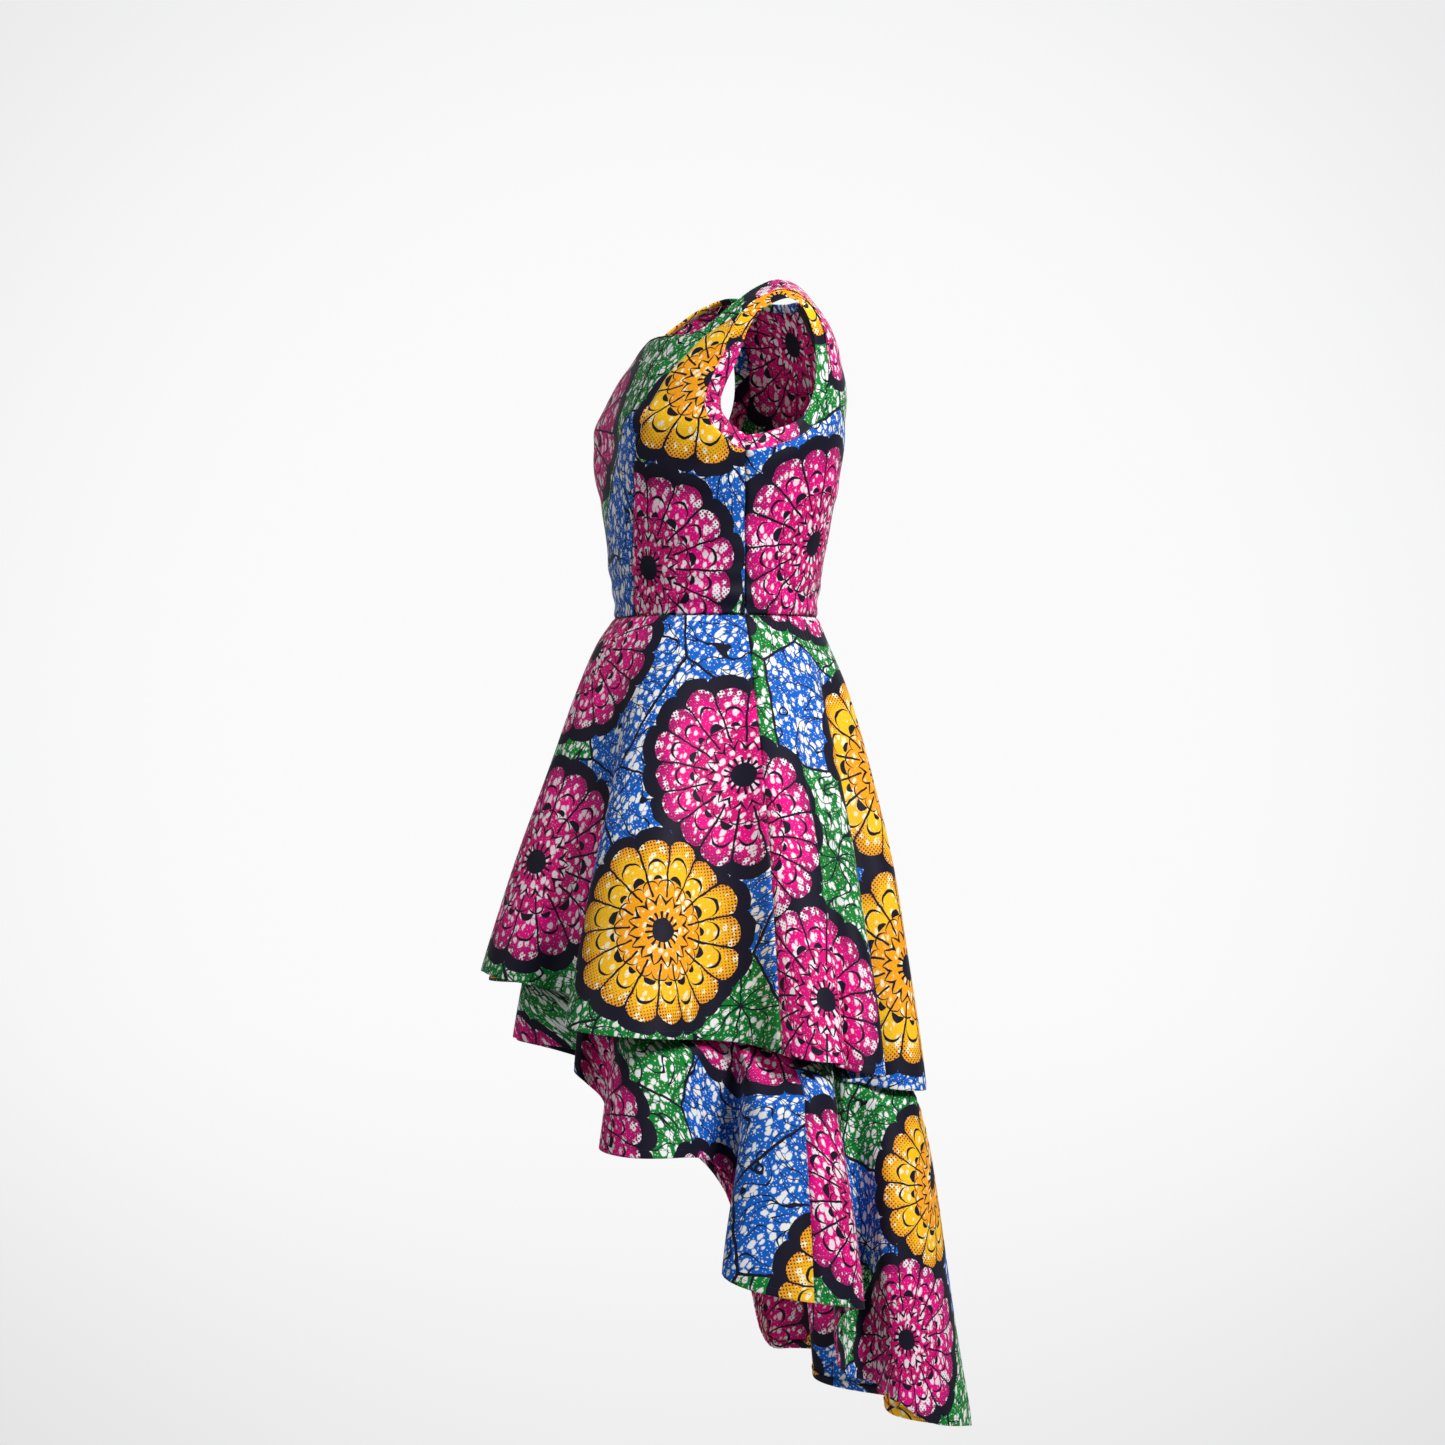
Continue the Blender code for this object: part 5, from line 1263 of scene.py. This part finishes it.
# Each row: the value's name, the operation, and what it takes. Lengths inside a flower are shares of
# its radius. petal_off is 0 on a petal's middle line and 1 on the line between two petals.
FLOWER_STEPS = [
    ("room", "MULTIPLY_ADD", "cell_room", FLOWER_CELL, 0.002),
    ("radius", "MINIMUM", "room", FLOWER_RADIUS),
    ("square_u", "MULTIPLY", "off_u", "off_u"),
    ("square", "MULTIPLY_ADD", "off_v", "off_v", "square_u"),
    ("away", "SQRT", "square"),
    ("share", "DIVIDE", "away", "radius"),
    ("angle", "ARCTAN2", "off_v", "off_u"),
    ("twist", "MULTIPLY", "cell_random_b", 6.283),
    ("turned", "ADD", "angle", "twist"),
    ("petal_turn", "MULTIPLY", "turned", PETALS / (2 * math.pi)),
    ("petal_part", "FRACT", "petal_turn"),
    ("petal_mid", "SUBTRACT", "petal_part", 0.5),
    ("petal_abs", "ABSOLUTE", "petal_mid"),
    ("petal_off", "MULTIPLY", "petal_abs", 2.0),
    ("half_turn", "MULTIPLY", "petal_turn", 0.5),
    ("pair_part", "FRACT", "half_turn"),
    ("pair_wave", "GREATER_THAN", "pair_part", 0.5),
    ("off_square", "MULTIPLY", "petal_off", "petal_off"),
    ("arch_square", "SUBTRACT", 1.0, "off_square"),
    ("arch", "SQRT", "arch_square"),
    ("half_width", "MULTIPLY", "share", math.pi / PETALS),
    ("arc_off", "MULTIPLY", "petal_off", "half_width"),
    ("edge_base", "MULTIPLY_ADD", "pair_wave", 0.035, 0.835),
    ("edge", "MULTIPLY_ADD", "arch", 0.13, "edge_base"),
    ("has_flower", "LESS_THAN", "cell_random_c", 0.86),
    ("inside", "LESS_THAN", "share", "edge"),
    ("in_flower", "MULTIPLY", "inside", "has_flower"),
    ("rim", "MULTIPLY_ADD", "edge", 0.55, 0.58),
    ("near_rim", "LESS_THAN", "share", "rim"),
    ("in_rim", "MULTIPLY", "near_rim", "has_flower"),
    ("line_gap", "SUBTRACT", "half_width", "arc_off"),
    ("line_near", "LESS_THAN", "line_gap", 0.0115),
    ("line_out", "GREATER_THAN", "share", 0.36),
    ("line", "MULTIPLY", "line_near", "line_out"),
    ("inner_off", "DIVIDE", "petal_off", 0.84),
    ("inner_off_square", "MULTIPLY", "inner_off", "inner_off"),
    ("inner_arch_square", "SUBTRACT", 1.0, "inner_off_square"),
    ("inner_arch_room", "MAXIMUM", "inner_arch_square", 0.0),
    ("inner_arch", "SQRT", "inner_arch_room"),
    ("inner_base", "MULTIPLY_ADD", "pair_wave", 0.05, 0.60),
    ("inner_edge", "MULTIPLY_ADD", "inner_arch", 0.15, "inner_base"),
    ("inner_gap", "SUBTRACT", "share", "inner_edge"),
    ("inner_away", "ABSOLUTE", "inner_gap"),
    ("inner_width", "MULTIPLY_ADD", "inner_arch", 0.010, 0.006),
    ("inner_near", "LESS_THAN", "inner_away", "inner_width"),
    ("inner_side", "LESS_THAN", "petal_off", 0.84),
    ("inner_line", "MULTIPLY", "inner_near", "inner_side"),
    ("disc_gap", "SUBTRACT", "share", 0.535),
    ("disc_gap_square", "MULTIPLY", "disc_gap", "disc_gap"),
    ("disc_square", "MULTIPLY_ADD", "arc_off", "arc_off", "disc_gap_square"),
    ("disc_away", "SQRT", "disc_square"),
    ("disc_size", "MULTIPLY_ADD", "pair_wave", 0.022, 0.052),
    ("disc_near", "LESS_THAN", "disc_away", "disc_size"),
    ("disc_out", "GREATER_THAN", "disc_gap", 0.0),
    ("disc", "MULTIPLY", "disc_near", "disc_out"),
    ("small_off", "SUBTRACT", 1.0, "petal_off"),
    ("small_square", "MULTIPLY", "small_off", "small_off"),
    ("small_arch_square", "SUBTRACT", 1.0, "small_square"),
    ("small_arch", "SQRT", "small_arch_square"),
    ("small_edge", "MULTIPLY_ADD", "small_arch", 0.085, 0.445),
    ("small_gap", "SUBTRACT", "share", "small_edge"),
    ("small_away", "ABSOLUTE", "small_gap"),
    ("small_line", "LESS_THAN", "small_away", 0.0085),
    ("star_edge", "MULTIPLY_ADD", "small_off", 0.12, 0.26),
    ("star_gap", "SUBTRACT", "share", "star_edge"),
    ("star_width", "MULTIPLY_ADD", "petal_off", 0.045, 0.012),
    ("star_out", "GREATER_THAN", "star_gap", 0.0),
    ("star_in", "LESS_THAN", "star_gap", "star_width"),
    ("star_line", "MULTIPLY", "star_out", "star_in"),
    ("core", "LESS_THAN", "share", 0.130),
    ("spike_near", "LESS_THAN", "petal_off", 0.42),
    ("spike_in", "LESS_THAN", "share", 0.200),
    ("spike", "MULTIPLY", "spike_near", "spike_in"),
    ("lines_a", "MAXIMUM", "line", "inner_line"),
    ("lines_b", "MAXIMUM", "disc", "small_line"),
    ("lines_c", "MAXIMUM", "star_line", "core"),
    ("lines_d", "MAXIMUM", "lines_a", "lines_b"),
    ("lines_e", "MAXIMUM", "lines_c", "spike"),
    ("lines", "MAXIMUM", "lines_d", "lines_e"),
    ("tip", "SUBTRACT", "share", "inner_edge"),
    ("tip_share", "MULTIPLY", "tip", 4.6),
    ("tip_part", "MINIMUM", "tip_share", 1.0),
    ("tip_tone", "MAXIMUM", "tip_part", 0.0),
    ("dot_u", "MULTIPLY", "diagonal_u", 2 * math.pi / HALFTONE_PITCH),
    ("dot_v", "MULTIPLY", "diagonal_v", 2 * math.pi / HALFTONE_PITCH),
    ("dot_cos_u", "COSINE", "dot_u"),
    ("dot_cos_v", "COSINE", "dot_v"),
    ("dot_sum", "ADD", "dot_cos_u", "dot_cos_v"),
    ("dot_level", "MULTIPLY_ADD", "tip_tone", -1.45, 1.95),
    ("dot_gap", "SUBTRACT", "dot_sum", "dot_level"),
    ("dot_sharp", "MULTIPLY_ADD", "dot_gap", 1.6, 0.5),
    ("dot_low", "MINIMUM", "dot_sharp", 1.0),
    ("dot", "MAXIMUM", "dot_low", 0.0),
    ("warm", "GREATER_THAN", "cell_random_a", 0.60),
    ("middle_tone", "LESS_THAN", "share", 0.53),
    ("leaf_blue", "GREATER_THAN", "leaf_random", 0.6),
    ("leaf_angle", "ARCTAN2", "leaf_v", "leaf_u"),
    ("leaf_square_u", "MULTIPLY", "leaf_u", "leaf_u"),
    ("leaf_square", "MULTIPLY_ADD", "leaf_v", "leaf_v", "leaf_square_u"),
    ("leaf_away", "SQRT", "leaf_square"),
    ("leaf_swirl", "MULTIPLY_ADD", "vein_noise", 1.7, "leaf_angle"),
    ("vein_turn", "MULTIPLY", "leaf_swirl", 9 / (2 * math.pi)),
    ("vein_part", "FRACT", "vein_turn"),
    ("vein_mid", "SUBTRACT", "vein_part", 0.5),
    ("vein_off", "ABSOLUTE", "vein_mid"),
    ("vein_gap", "MULTIPLY", "vein_off", "leaf_away"),
    ("vein_wide", "MULTIPLY", "vein_off", -2.6),
    ("vein", "LESS_THAN", "vein_gap", 0.0012),
    ("twig_bend", "MULTIPLY_ADD", "leaf_away", 34.0, "vein_wide"),
    ("twig_part", "FRACT", "twig_bend"),
    ("twig_mid", "SUBTRACT", "twig_part", 0.5),
    ("twig_off", "ABSOLUTE", "twig_mid"),
    ("twig_near", "LESS_THAN", "twig_off", 0.045),
    ("twig_from", "GREATER_THAN", "leaf_away", 0.012),
    ("twig", "MULTIPLY", "twig_near", "twig_from"),
    ("leaf_edge", "LESS_THAN", "leaf_rim", 0.011),
    ("leaf_lines_a", "MAXIMUM", "vein", "twig"),
    ("leaf_lines", "MAXIMUM", "leaf_lines_a", "leaf_edge"),
    ("bubble_shift", "MULTIPLY_ADD", "warm", -0.11, 0.0),
    ("bubble_kind", "MULTIPLY_ADD", "in_flower", "bubble_shift", 0.095),
    ("bubble_spread", "MULTIPLY_ADD", "bubble_noise", 0.50, "bubble_kind"),
    ("bubble_level", "MULTIPLY_ADD", "bubble_size", 0.36, "bubble_spread"),
    ("bubble_gap", "SUBTRACT", "bubble_level", "bubble_away"),
    ("bubble_sharp", "MULTIPLY_ADD", "bubble_gap", 9.0, 0.5),
    ("bubble_low", "MINIMUM", "bubble_sharp", 1.0),
    ("bubble_cut", "MAXIMUM", "bubble_low", 0.0),
    ("speck_level", "MULTIPLY_ADD", "in_flower", -0.06, 0.12),
    ("speck_gap", "SUBTRACT", "speck_level", "speck_away"),
    ("speck_sharp", "MULTIPLY_ADD", "speck_gap", 8.0, 0.5),
    ("speck_low", "MINIMUM", "speck_sharp", 1.0),
    ("speck", "MAXIMUM", "speck_low", 0.0),
    ("white", "MAXIMUM", "bubble_cut", "speck"),
]


def wandered(tree, cloth, rate, reach):
    """Flat pattern's coordinates pushed about by a noise, by up to half a reach each way."""
    noise = add_node(tree, "ShaderNodeTexNoise", [cloth, None, rate, 2.0], noise_dimensions="2D")
    takes = [noise.outputs["Color"], (0.5, 0.5, 0.5)]
    centred = add_node(tree, "ShaderNodeVectorMath", takes, operation="SUBTRACT").outputs[0]
    takes = {0: centred, "Scale": reach}
    push = add_node(tree, "ShaderNodeVectorMath", takes, operation="SCALE").outputs[0]
    return add_node(tree, "ShaderNodeVectorMath", [cloth, push]).outputs[0]


def print_colour(tree):
    """Flat pattern's coordinates, and the colour of the wax print at them."""
    cloth = add_node(tree, "ShaderNodeUVMap", uv_map="flat_pattern").outputs[0]
    drawn = wandered(tree, cloth, *LINE_WANDER)
    cells = {}
    for word, size, jitter, kinds in (
        ("flower", FLOWER_CELL, FLOWER_JITTER, ("F1", "N_SPHERE_RADIUS")),
        ("leaf", LEAF_CELL, 1.0, ("F1", "DISTANCE_TO_EDGE")),
    ):
        for kind in kinds:
            cells[word, kind] = add_node(
                tree,
                "ShaderNodeTexVoronoi",
                {"Vector": drawn, "Scale": 1 / size, "Randomness": jitter},
                voronoi_dimensions="2D",
                feature=kind,
            )
    known = {"cell_room": cells["flower", "N_SPHERE_RADIUS"].outputs["Radius"]}
    for word, first, second in (("flower", "off_u", "off_v"), ("leaf", "leaf_u", "leaf_v")):
        centre = cells[word, "F1"].outputs["Position"]
        off = add_node(tree, "ShaderNodeVectorMath", [drawn, centre], operation="SUBTRACT").outputs[0]
        parts = add_node(tree, "ShaderNodeSeparateXYZ", [off]).outputs
        known[first], known[second] = parts[0], parts[1]
    random = add_node(tree, "ShaderNodeSeparateColor", [cells["flower", "F1"].outputs["Color"]]).outputs
    known["cell_random_a"], known["cell_random_b"], known["cell_random_c"] = random[0], random[1], random[2]
    random = add_node(tree, "ShaderNodeSeparateColor", [cells["leaf", "F1"].outputs["Color"]]).outputs
    known["leaf_random"] = random[0]
    known["leaf_rim"] = cells["leaf", "DISTANCE_TO_EDGE"].outputs["Distance"]
    slanted = add_node(tree, "ShaderNodeMapping", {"Vector": cloth, "Rotation": (0, 0, math.radians(45))})
    parts = add_node(tree, "ShaderNodeSeparateXYZ", [slanted.outputs[0]]).outputs
    known["diagonal_u"], known["diagonal_v"] = parts[0], parts[1]
    veins = add_node(tree, "ShaderNodeTexNoise", [cloth, None, VEIN_NOISE_RATE, 1.0], noise_dimensions="2D")
    known["vein_noise"] = veins.outputs[0]
    # Wax bubbles are drawn out along the cloth and bent by a slow noise
    stirred = wandered(tree, cloth, *BUBBLE_WANDER)
    drawn_out = add_node(
        tree, "ShaderNodeMapping", {"Vector": stirred, "Rotation": (0, 0, 0.35), "Scale": (1.0, 0.66, 1.0)}
    ).outputs[0]
    bubbles = add_node(
        tree, "ShaderNodeTexVoronoi", {"Vector": drawn_out, "Scale": 1 / BUBBLE_CELL}, voronoi_dimensions="2D"
    )
    specks = add_node(
        tree, "ShaderNodeTexVoronoi", {"Vector": stirred, "Scale": 1 / SPECK_CELL}, voronoi_dimensions="2D"
    )
    slow = add_node(tree, "ShaderNodeTexNoise", [cloth, None, BUBBLE_NOISE_RATE, 2.0], noise_dimensions="2D")
    spread_out = add_node(tree, "ShaderNodeMath", [slow.outputs[0], 0.5], operation="SUBTRACT").outputs[0]
    known["bubble_away"] = bubbles.outputs["Distance"]
    known["bubble_size"] = add_node(tree, "ShaderNodeSeparateColor", [bubbles.outputs["Color"]]).outputs[0]
    known["speck_away"] = specks.outputs["Distance"]
    known["bubble_noise"] = spread_out
    for name, operation, *takes in FLOWER_STEPS:
        takes = [known[value] if isinstance(value, str) else value for value in takes]
        known[name] = add_node(tree, "ShaderNodeMath", takes, operation=operation).outputs[0]
    for name, factor, *colours in PRINT_LAYERS:
        under, over = [linear(value) if value.startswith("#") else known[value] for value in colours]
        takes = {0: known[factor], 6: under, 7: over}
        known[name] = add_node(tree, "ShaderNodeMix", takes, data_type="RGBA").outputs[2]
    return cloth, known["printed"]


def wax_print_cotton():
    """Plain-woven cotton, resin and wax printed on both faces: matt, with a faint waxy sheen.

    The eye sees strong flat colours with pale wax bubbles. The real weave is 0.35 mm a thread, too fine
    to show, so it is drawn 0.9 mm wide and faint.
    """
    material = bpy.data.materials.new("wax_printed_plain_woven_cotton")
    material.use_nodes = True
    tree = material.node_tree
    shader = tree.nodes["Principled BSDF"]
    cloth, printed = print_colour(tree)
    fade = add_node(tree, "ShaderNodeTexNoise", [cloth, None, FADE_RATE, 3.0], noise_dimensions="2D")
    tone = add_node(tree, "ShaderNodeMapRange", [fade.outputs[0], 0.3, 0.7, 0.93, 1.04])
    takes = {0: printed, "Scale": tone.outputs[0]}
    shaded = add_node(tree, "ShaderNodeVectorMath", takes, operation="SCALE")
    tree.links.new(shaded.outputs[0], shader.inputs["Base Color"])
    threads = []
    for direction in ("X", "Y"):
        takes = {"Vector": cloth, "Scale": 2 * math.pi / WEAVE_DRAWN / 20, "Distortion": 0.6}
        wave = add_node(tree, "ShaderNodeTexWave", takes, bands_direction=direction)
        threads.append(wave.outputs["Fac"])
    weave = add_node(tree, "ShaderNodeMath", threads, operation="MULTIPLY").outputs[0]
    takes = {"Vector": cloth, "Scale": CRUMPLE_RATE, "Detail": 4.0, "Roughness": 0.55}
    crumple = add_node(tree, "ShaderNodeTexNoise", takes, noise_dimensions="2D")
    fine = add_node(tree, "ShaderNodeBump", {"Strength": 0.12, "Distance": 0.0002, "Height": weave})
    takes = {"Strength": 0.35, "Distance": 0.0012, "Height": crumple.outputs[0], "Normal": fine.outputs[0]}
    soft = add_node(tree, "ShaderNodeBump", takes)
    tree.links.new(soft.outputs[0], shader.inputs["Normal"])
    rough = add_node(tree, "ShaderNodeMapRange", [fade.outputs[0], 0.3, 0.7, 0.58, 0.70])
    tree.links.new(rough.outputs[0], shader.inputs["Roughness"])
    shader.inputs["Specular IOR Level"].default_value = 0.14
    shader.inputs["Sheen Weight"].default_value = 0.02
    shader.inputs["Sheen Roughness"].default_value = 0.5
    return material


def plain_material(name, hexes, roughness, metallic=0.0, grain=0.0):
    """Plain finish with a little unevenness of its roughness, at a grain size in metres."""
    material = bpy.data.materials.new(name)
    material.use_nodes = True
    tree = material.node_tree
    shader = tree.nodes["Principled BSDF"]
    shader.inputs["Base Color"].default_value = linear(hexes)
    shader.inputs["Roughness"].default_value = roughness
    shader.inputs["Metallic"].default_value = metallic
    if grain:
        place = add_node(tree, "ShaderNodeTexCoord").outputs["Object"]
        noise = add_node(tree, "ShaderNodeTexNoise", {"Vector": place, "Scale": 1 / grain, "Detail": 3.0})
        takes = [noise.outputs[0], 0.3, 0.7, roughness - 0.08, roughness + 0.08]
        rough = add_node(tree, "ShaderNodeMapRange", takes)
        tree.links.new(rough.outputs[0], shader.inputs["Roughness"])
        takes = {"Strength": 0.2, "Distance": 0.0002, "Height": noise.outputs[0]}
        bump = add_node(tree, "ShaderNodeBump", takes)
        tree.links.new(bump.outputs[0], shader.inputs["Normal"])
    return material


def woven_tape():
    """Twill-woven polyester tape: fine slanting ribs that make the dark tape look dull and soft."""
    material = plain_material("twill_woven_polyester_tape", "#1c1b26", 0.8, grain=0.0008)
    tree = material.node_tree
    flat = add_node(tree, "ShaderNodeUVMap", uv_map="flat_pattern").outputs[0]
    takes = {"Vector": flat, "Scale": TAPE_RIB_RATE}
    ribs = add_node(tree, "ShaderNodeTexWave", takes, bands_direction="DIAGONAL")
    takes = {"Strength": 0.5, "Distance": 0.0002, "Height": ribs.outputs["Fac"]}
    bump = add_node(tree, "ShaderNodeBump", takes)
    tree.links.new(bump.outputs[0], tree.nodes["Principled BSDF"].inputs["Normal"])
    return material


def make_camera():
    """Level camera at the photograph's angle, with the dress's axis a little left of the middle."""
    turn = math.radians(CAMERA_AZIMUTH)
    look = np.array([-math.sin(turn), math.cos(turn), 0.0])
    place = np.array([0.0, -SHOULDER_TO_AXIS, CAMERA_HEIGHT]) - look * CAMERA_DISTANCE
    lens = bpy.data.cameras.new("camera")
    lens.sensor_width = SENSOR_MILLIMETRES
    lens.lens = SENSOR_MILLIMETRES * CAMERA_DISTANCE / FRAME_WIDTH_AT_AXIS
    lens.shift_x = (IMAGE_PIXELS / 2 - AXIS_PIXEL) / IMAGE_PIXELS
    camera = bpy.data.objects.new("camera", lens)
    camera.location = place
    camera.rotation_euler = (math.pi / 2, 0.0, turn)
    bpy.context.scene.collection.objects.link(camera)
    bpy.context.scene.camera = camera
    return turn


def make_room(turn):
    """Pale floor, a white surround that is dim behind the camera, and a key, a fill and a back light."""
    world = bpy.data.worlds.new("studio")
    bpy.context.scene.world = world
    world.use_nodes = True
    tree = world.node_tree
    sky = tree.nodes["Background"]
    sky.inputs[0].default_value = linear("#fcfcfd")
    way = add_node(tree, "ShaderNodeTexCoord").outputs["Generated"]
    behind = (-math.sin(turn), math.cos(turn), 0.0)
    along_view = add_node(tree, "ShaderNodeVectorMath", [way, behind], operation="DOT_PRODUCT")
    upwards = add_node(tree, "ShaderNodeSeparateXYZ", [way])
    cosines = {"along_view": along_view.outputs["Value"], "upwards": upwards.outputs[2]}
    strength = 1.0
    for direction, *ends in SURROUND_STEPS:
        takes = [cosines[direction], *ends]
        part = add_node(tree, "ShaderNodeMapRange", takes, interpolation_type="SMOOTHSTEP")
        takes = [strength, part.outputs[0]]
        strength = add_node(tree, "ShaderNodeMath", takes, operation="MULTIPLY").outputs[0]
    tree.links.new(strength, sky.inputs[1])
    ring = np.linspace(0, 2 * math.pi, FLOOR_CORNERS + 1)[:-1]
    mesh = bpy.data.meshes.new("studio_floor")
    points = np.stack([np.cos(ring), np.sin(ring), np.zeros(FLOOR_CORNERS)], axis=1) * FLOOR_RADIUS
    points += [0.0, -SHOULDER_TO_AXIS, FLOOR_Z]
    mesh.from_pydata(points.tolist(), [], [list(range(FLOOR_CORNERS))])
    mesh.materials.append(plain_material("painted_studio_floor", "#f3f4f5", 0.7))
    floor = bpy.data.objects.new("studio_floor", mesh)
    bpy.context.scene.collection.objects.link(floor)
    toward = np.array([math.sin(turn), -math.cos(turn), 0.0])
    left = np.array([-math.cos(turn), -math.sin(turn), 0.0])
    for name, sideways, forward, height, size, power in SOFTBOXES:
        lamp = bpy.data.lights.new(name, "AREA")
        lamp.energy = power
        lamp.size = size
        light = bpy.data.objects.new(name, lamp)
        place = left * sideways + toward * forward + np.array([0.0, -SHOULDER_TO_AXIS, height])
        aim = np.array([0.0, -SHOULDER_TO_AXIS, LIGHTS_AIM_Z]) - place
        light.location = place
        flat = math.hypot(aim[0], aim[1])
        light.rotation_euler = (math.atan2(flat, -aim[2]), 0.0, math.atan2(aim[1], aim[0]) - math.pi / 2)
        bpy.context.scene.collection.objects.link(light)


def main():
    """Room, cloth pieces in place of the solids they stand for, stitches and zip."""
    bpy.context.scene.view_settings.view_transform = "Standard"
    make_room(make_camera())
    cotton = wax_print_cotton()
    made = make_bodice(cotton) + make_edges(cotton) + [make_zip_tape(woven_tape())]
    rows = np.linspace(0, 1, TIER_ROWS + 1)
    tiers = make_tier("upper", upper_surface, UPPER_FOLDS, UPPER_SIDES, rows, cotton, UPPER_SEED)
    rows = np.concatenate([rows, np.linspace(1, 2, LOWER_BARE_ROWS + 1)[1:]])
    tiers += make_tier(
        "lower", lower_surface, LOWER_FOLDS, LOWER_SIDES, rows, cotton, LOWER_SEED, has_slit=True
    )
    made += [piece for piece, _ in tiers]
    for piece in made:
        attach(piece, "dress")
        node = piece.name.removesuffix("_cloth")
        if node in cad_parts:
            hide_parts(node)
    thread = plain_material("spun_polyester_thread", "#1a1830", 0.6, grain=0.0004)
    make_stitches([hem for _, hem in tiers], thread)
    make_zip(plain_material("nylon_zip_coil", "#1d1b2c", 0.42, grain=0.0006))
    enamel = plain_material("enamelled_cast_zinc", "#1d1c26", 0.34, metallic=0.5, grain=0.0006)
    make_slider(enamel)
    make_pull(enamel)


main()
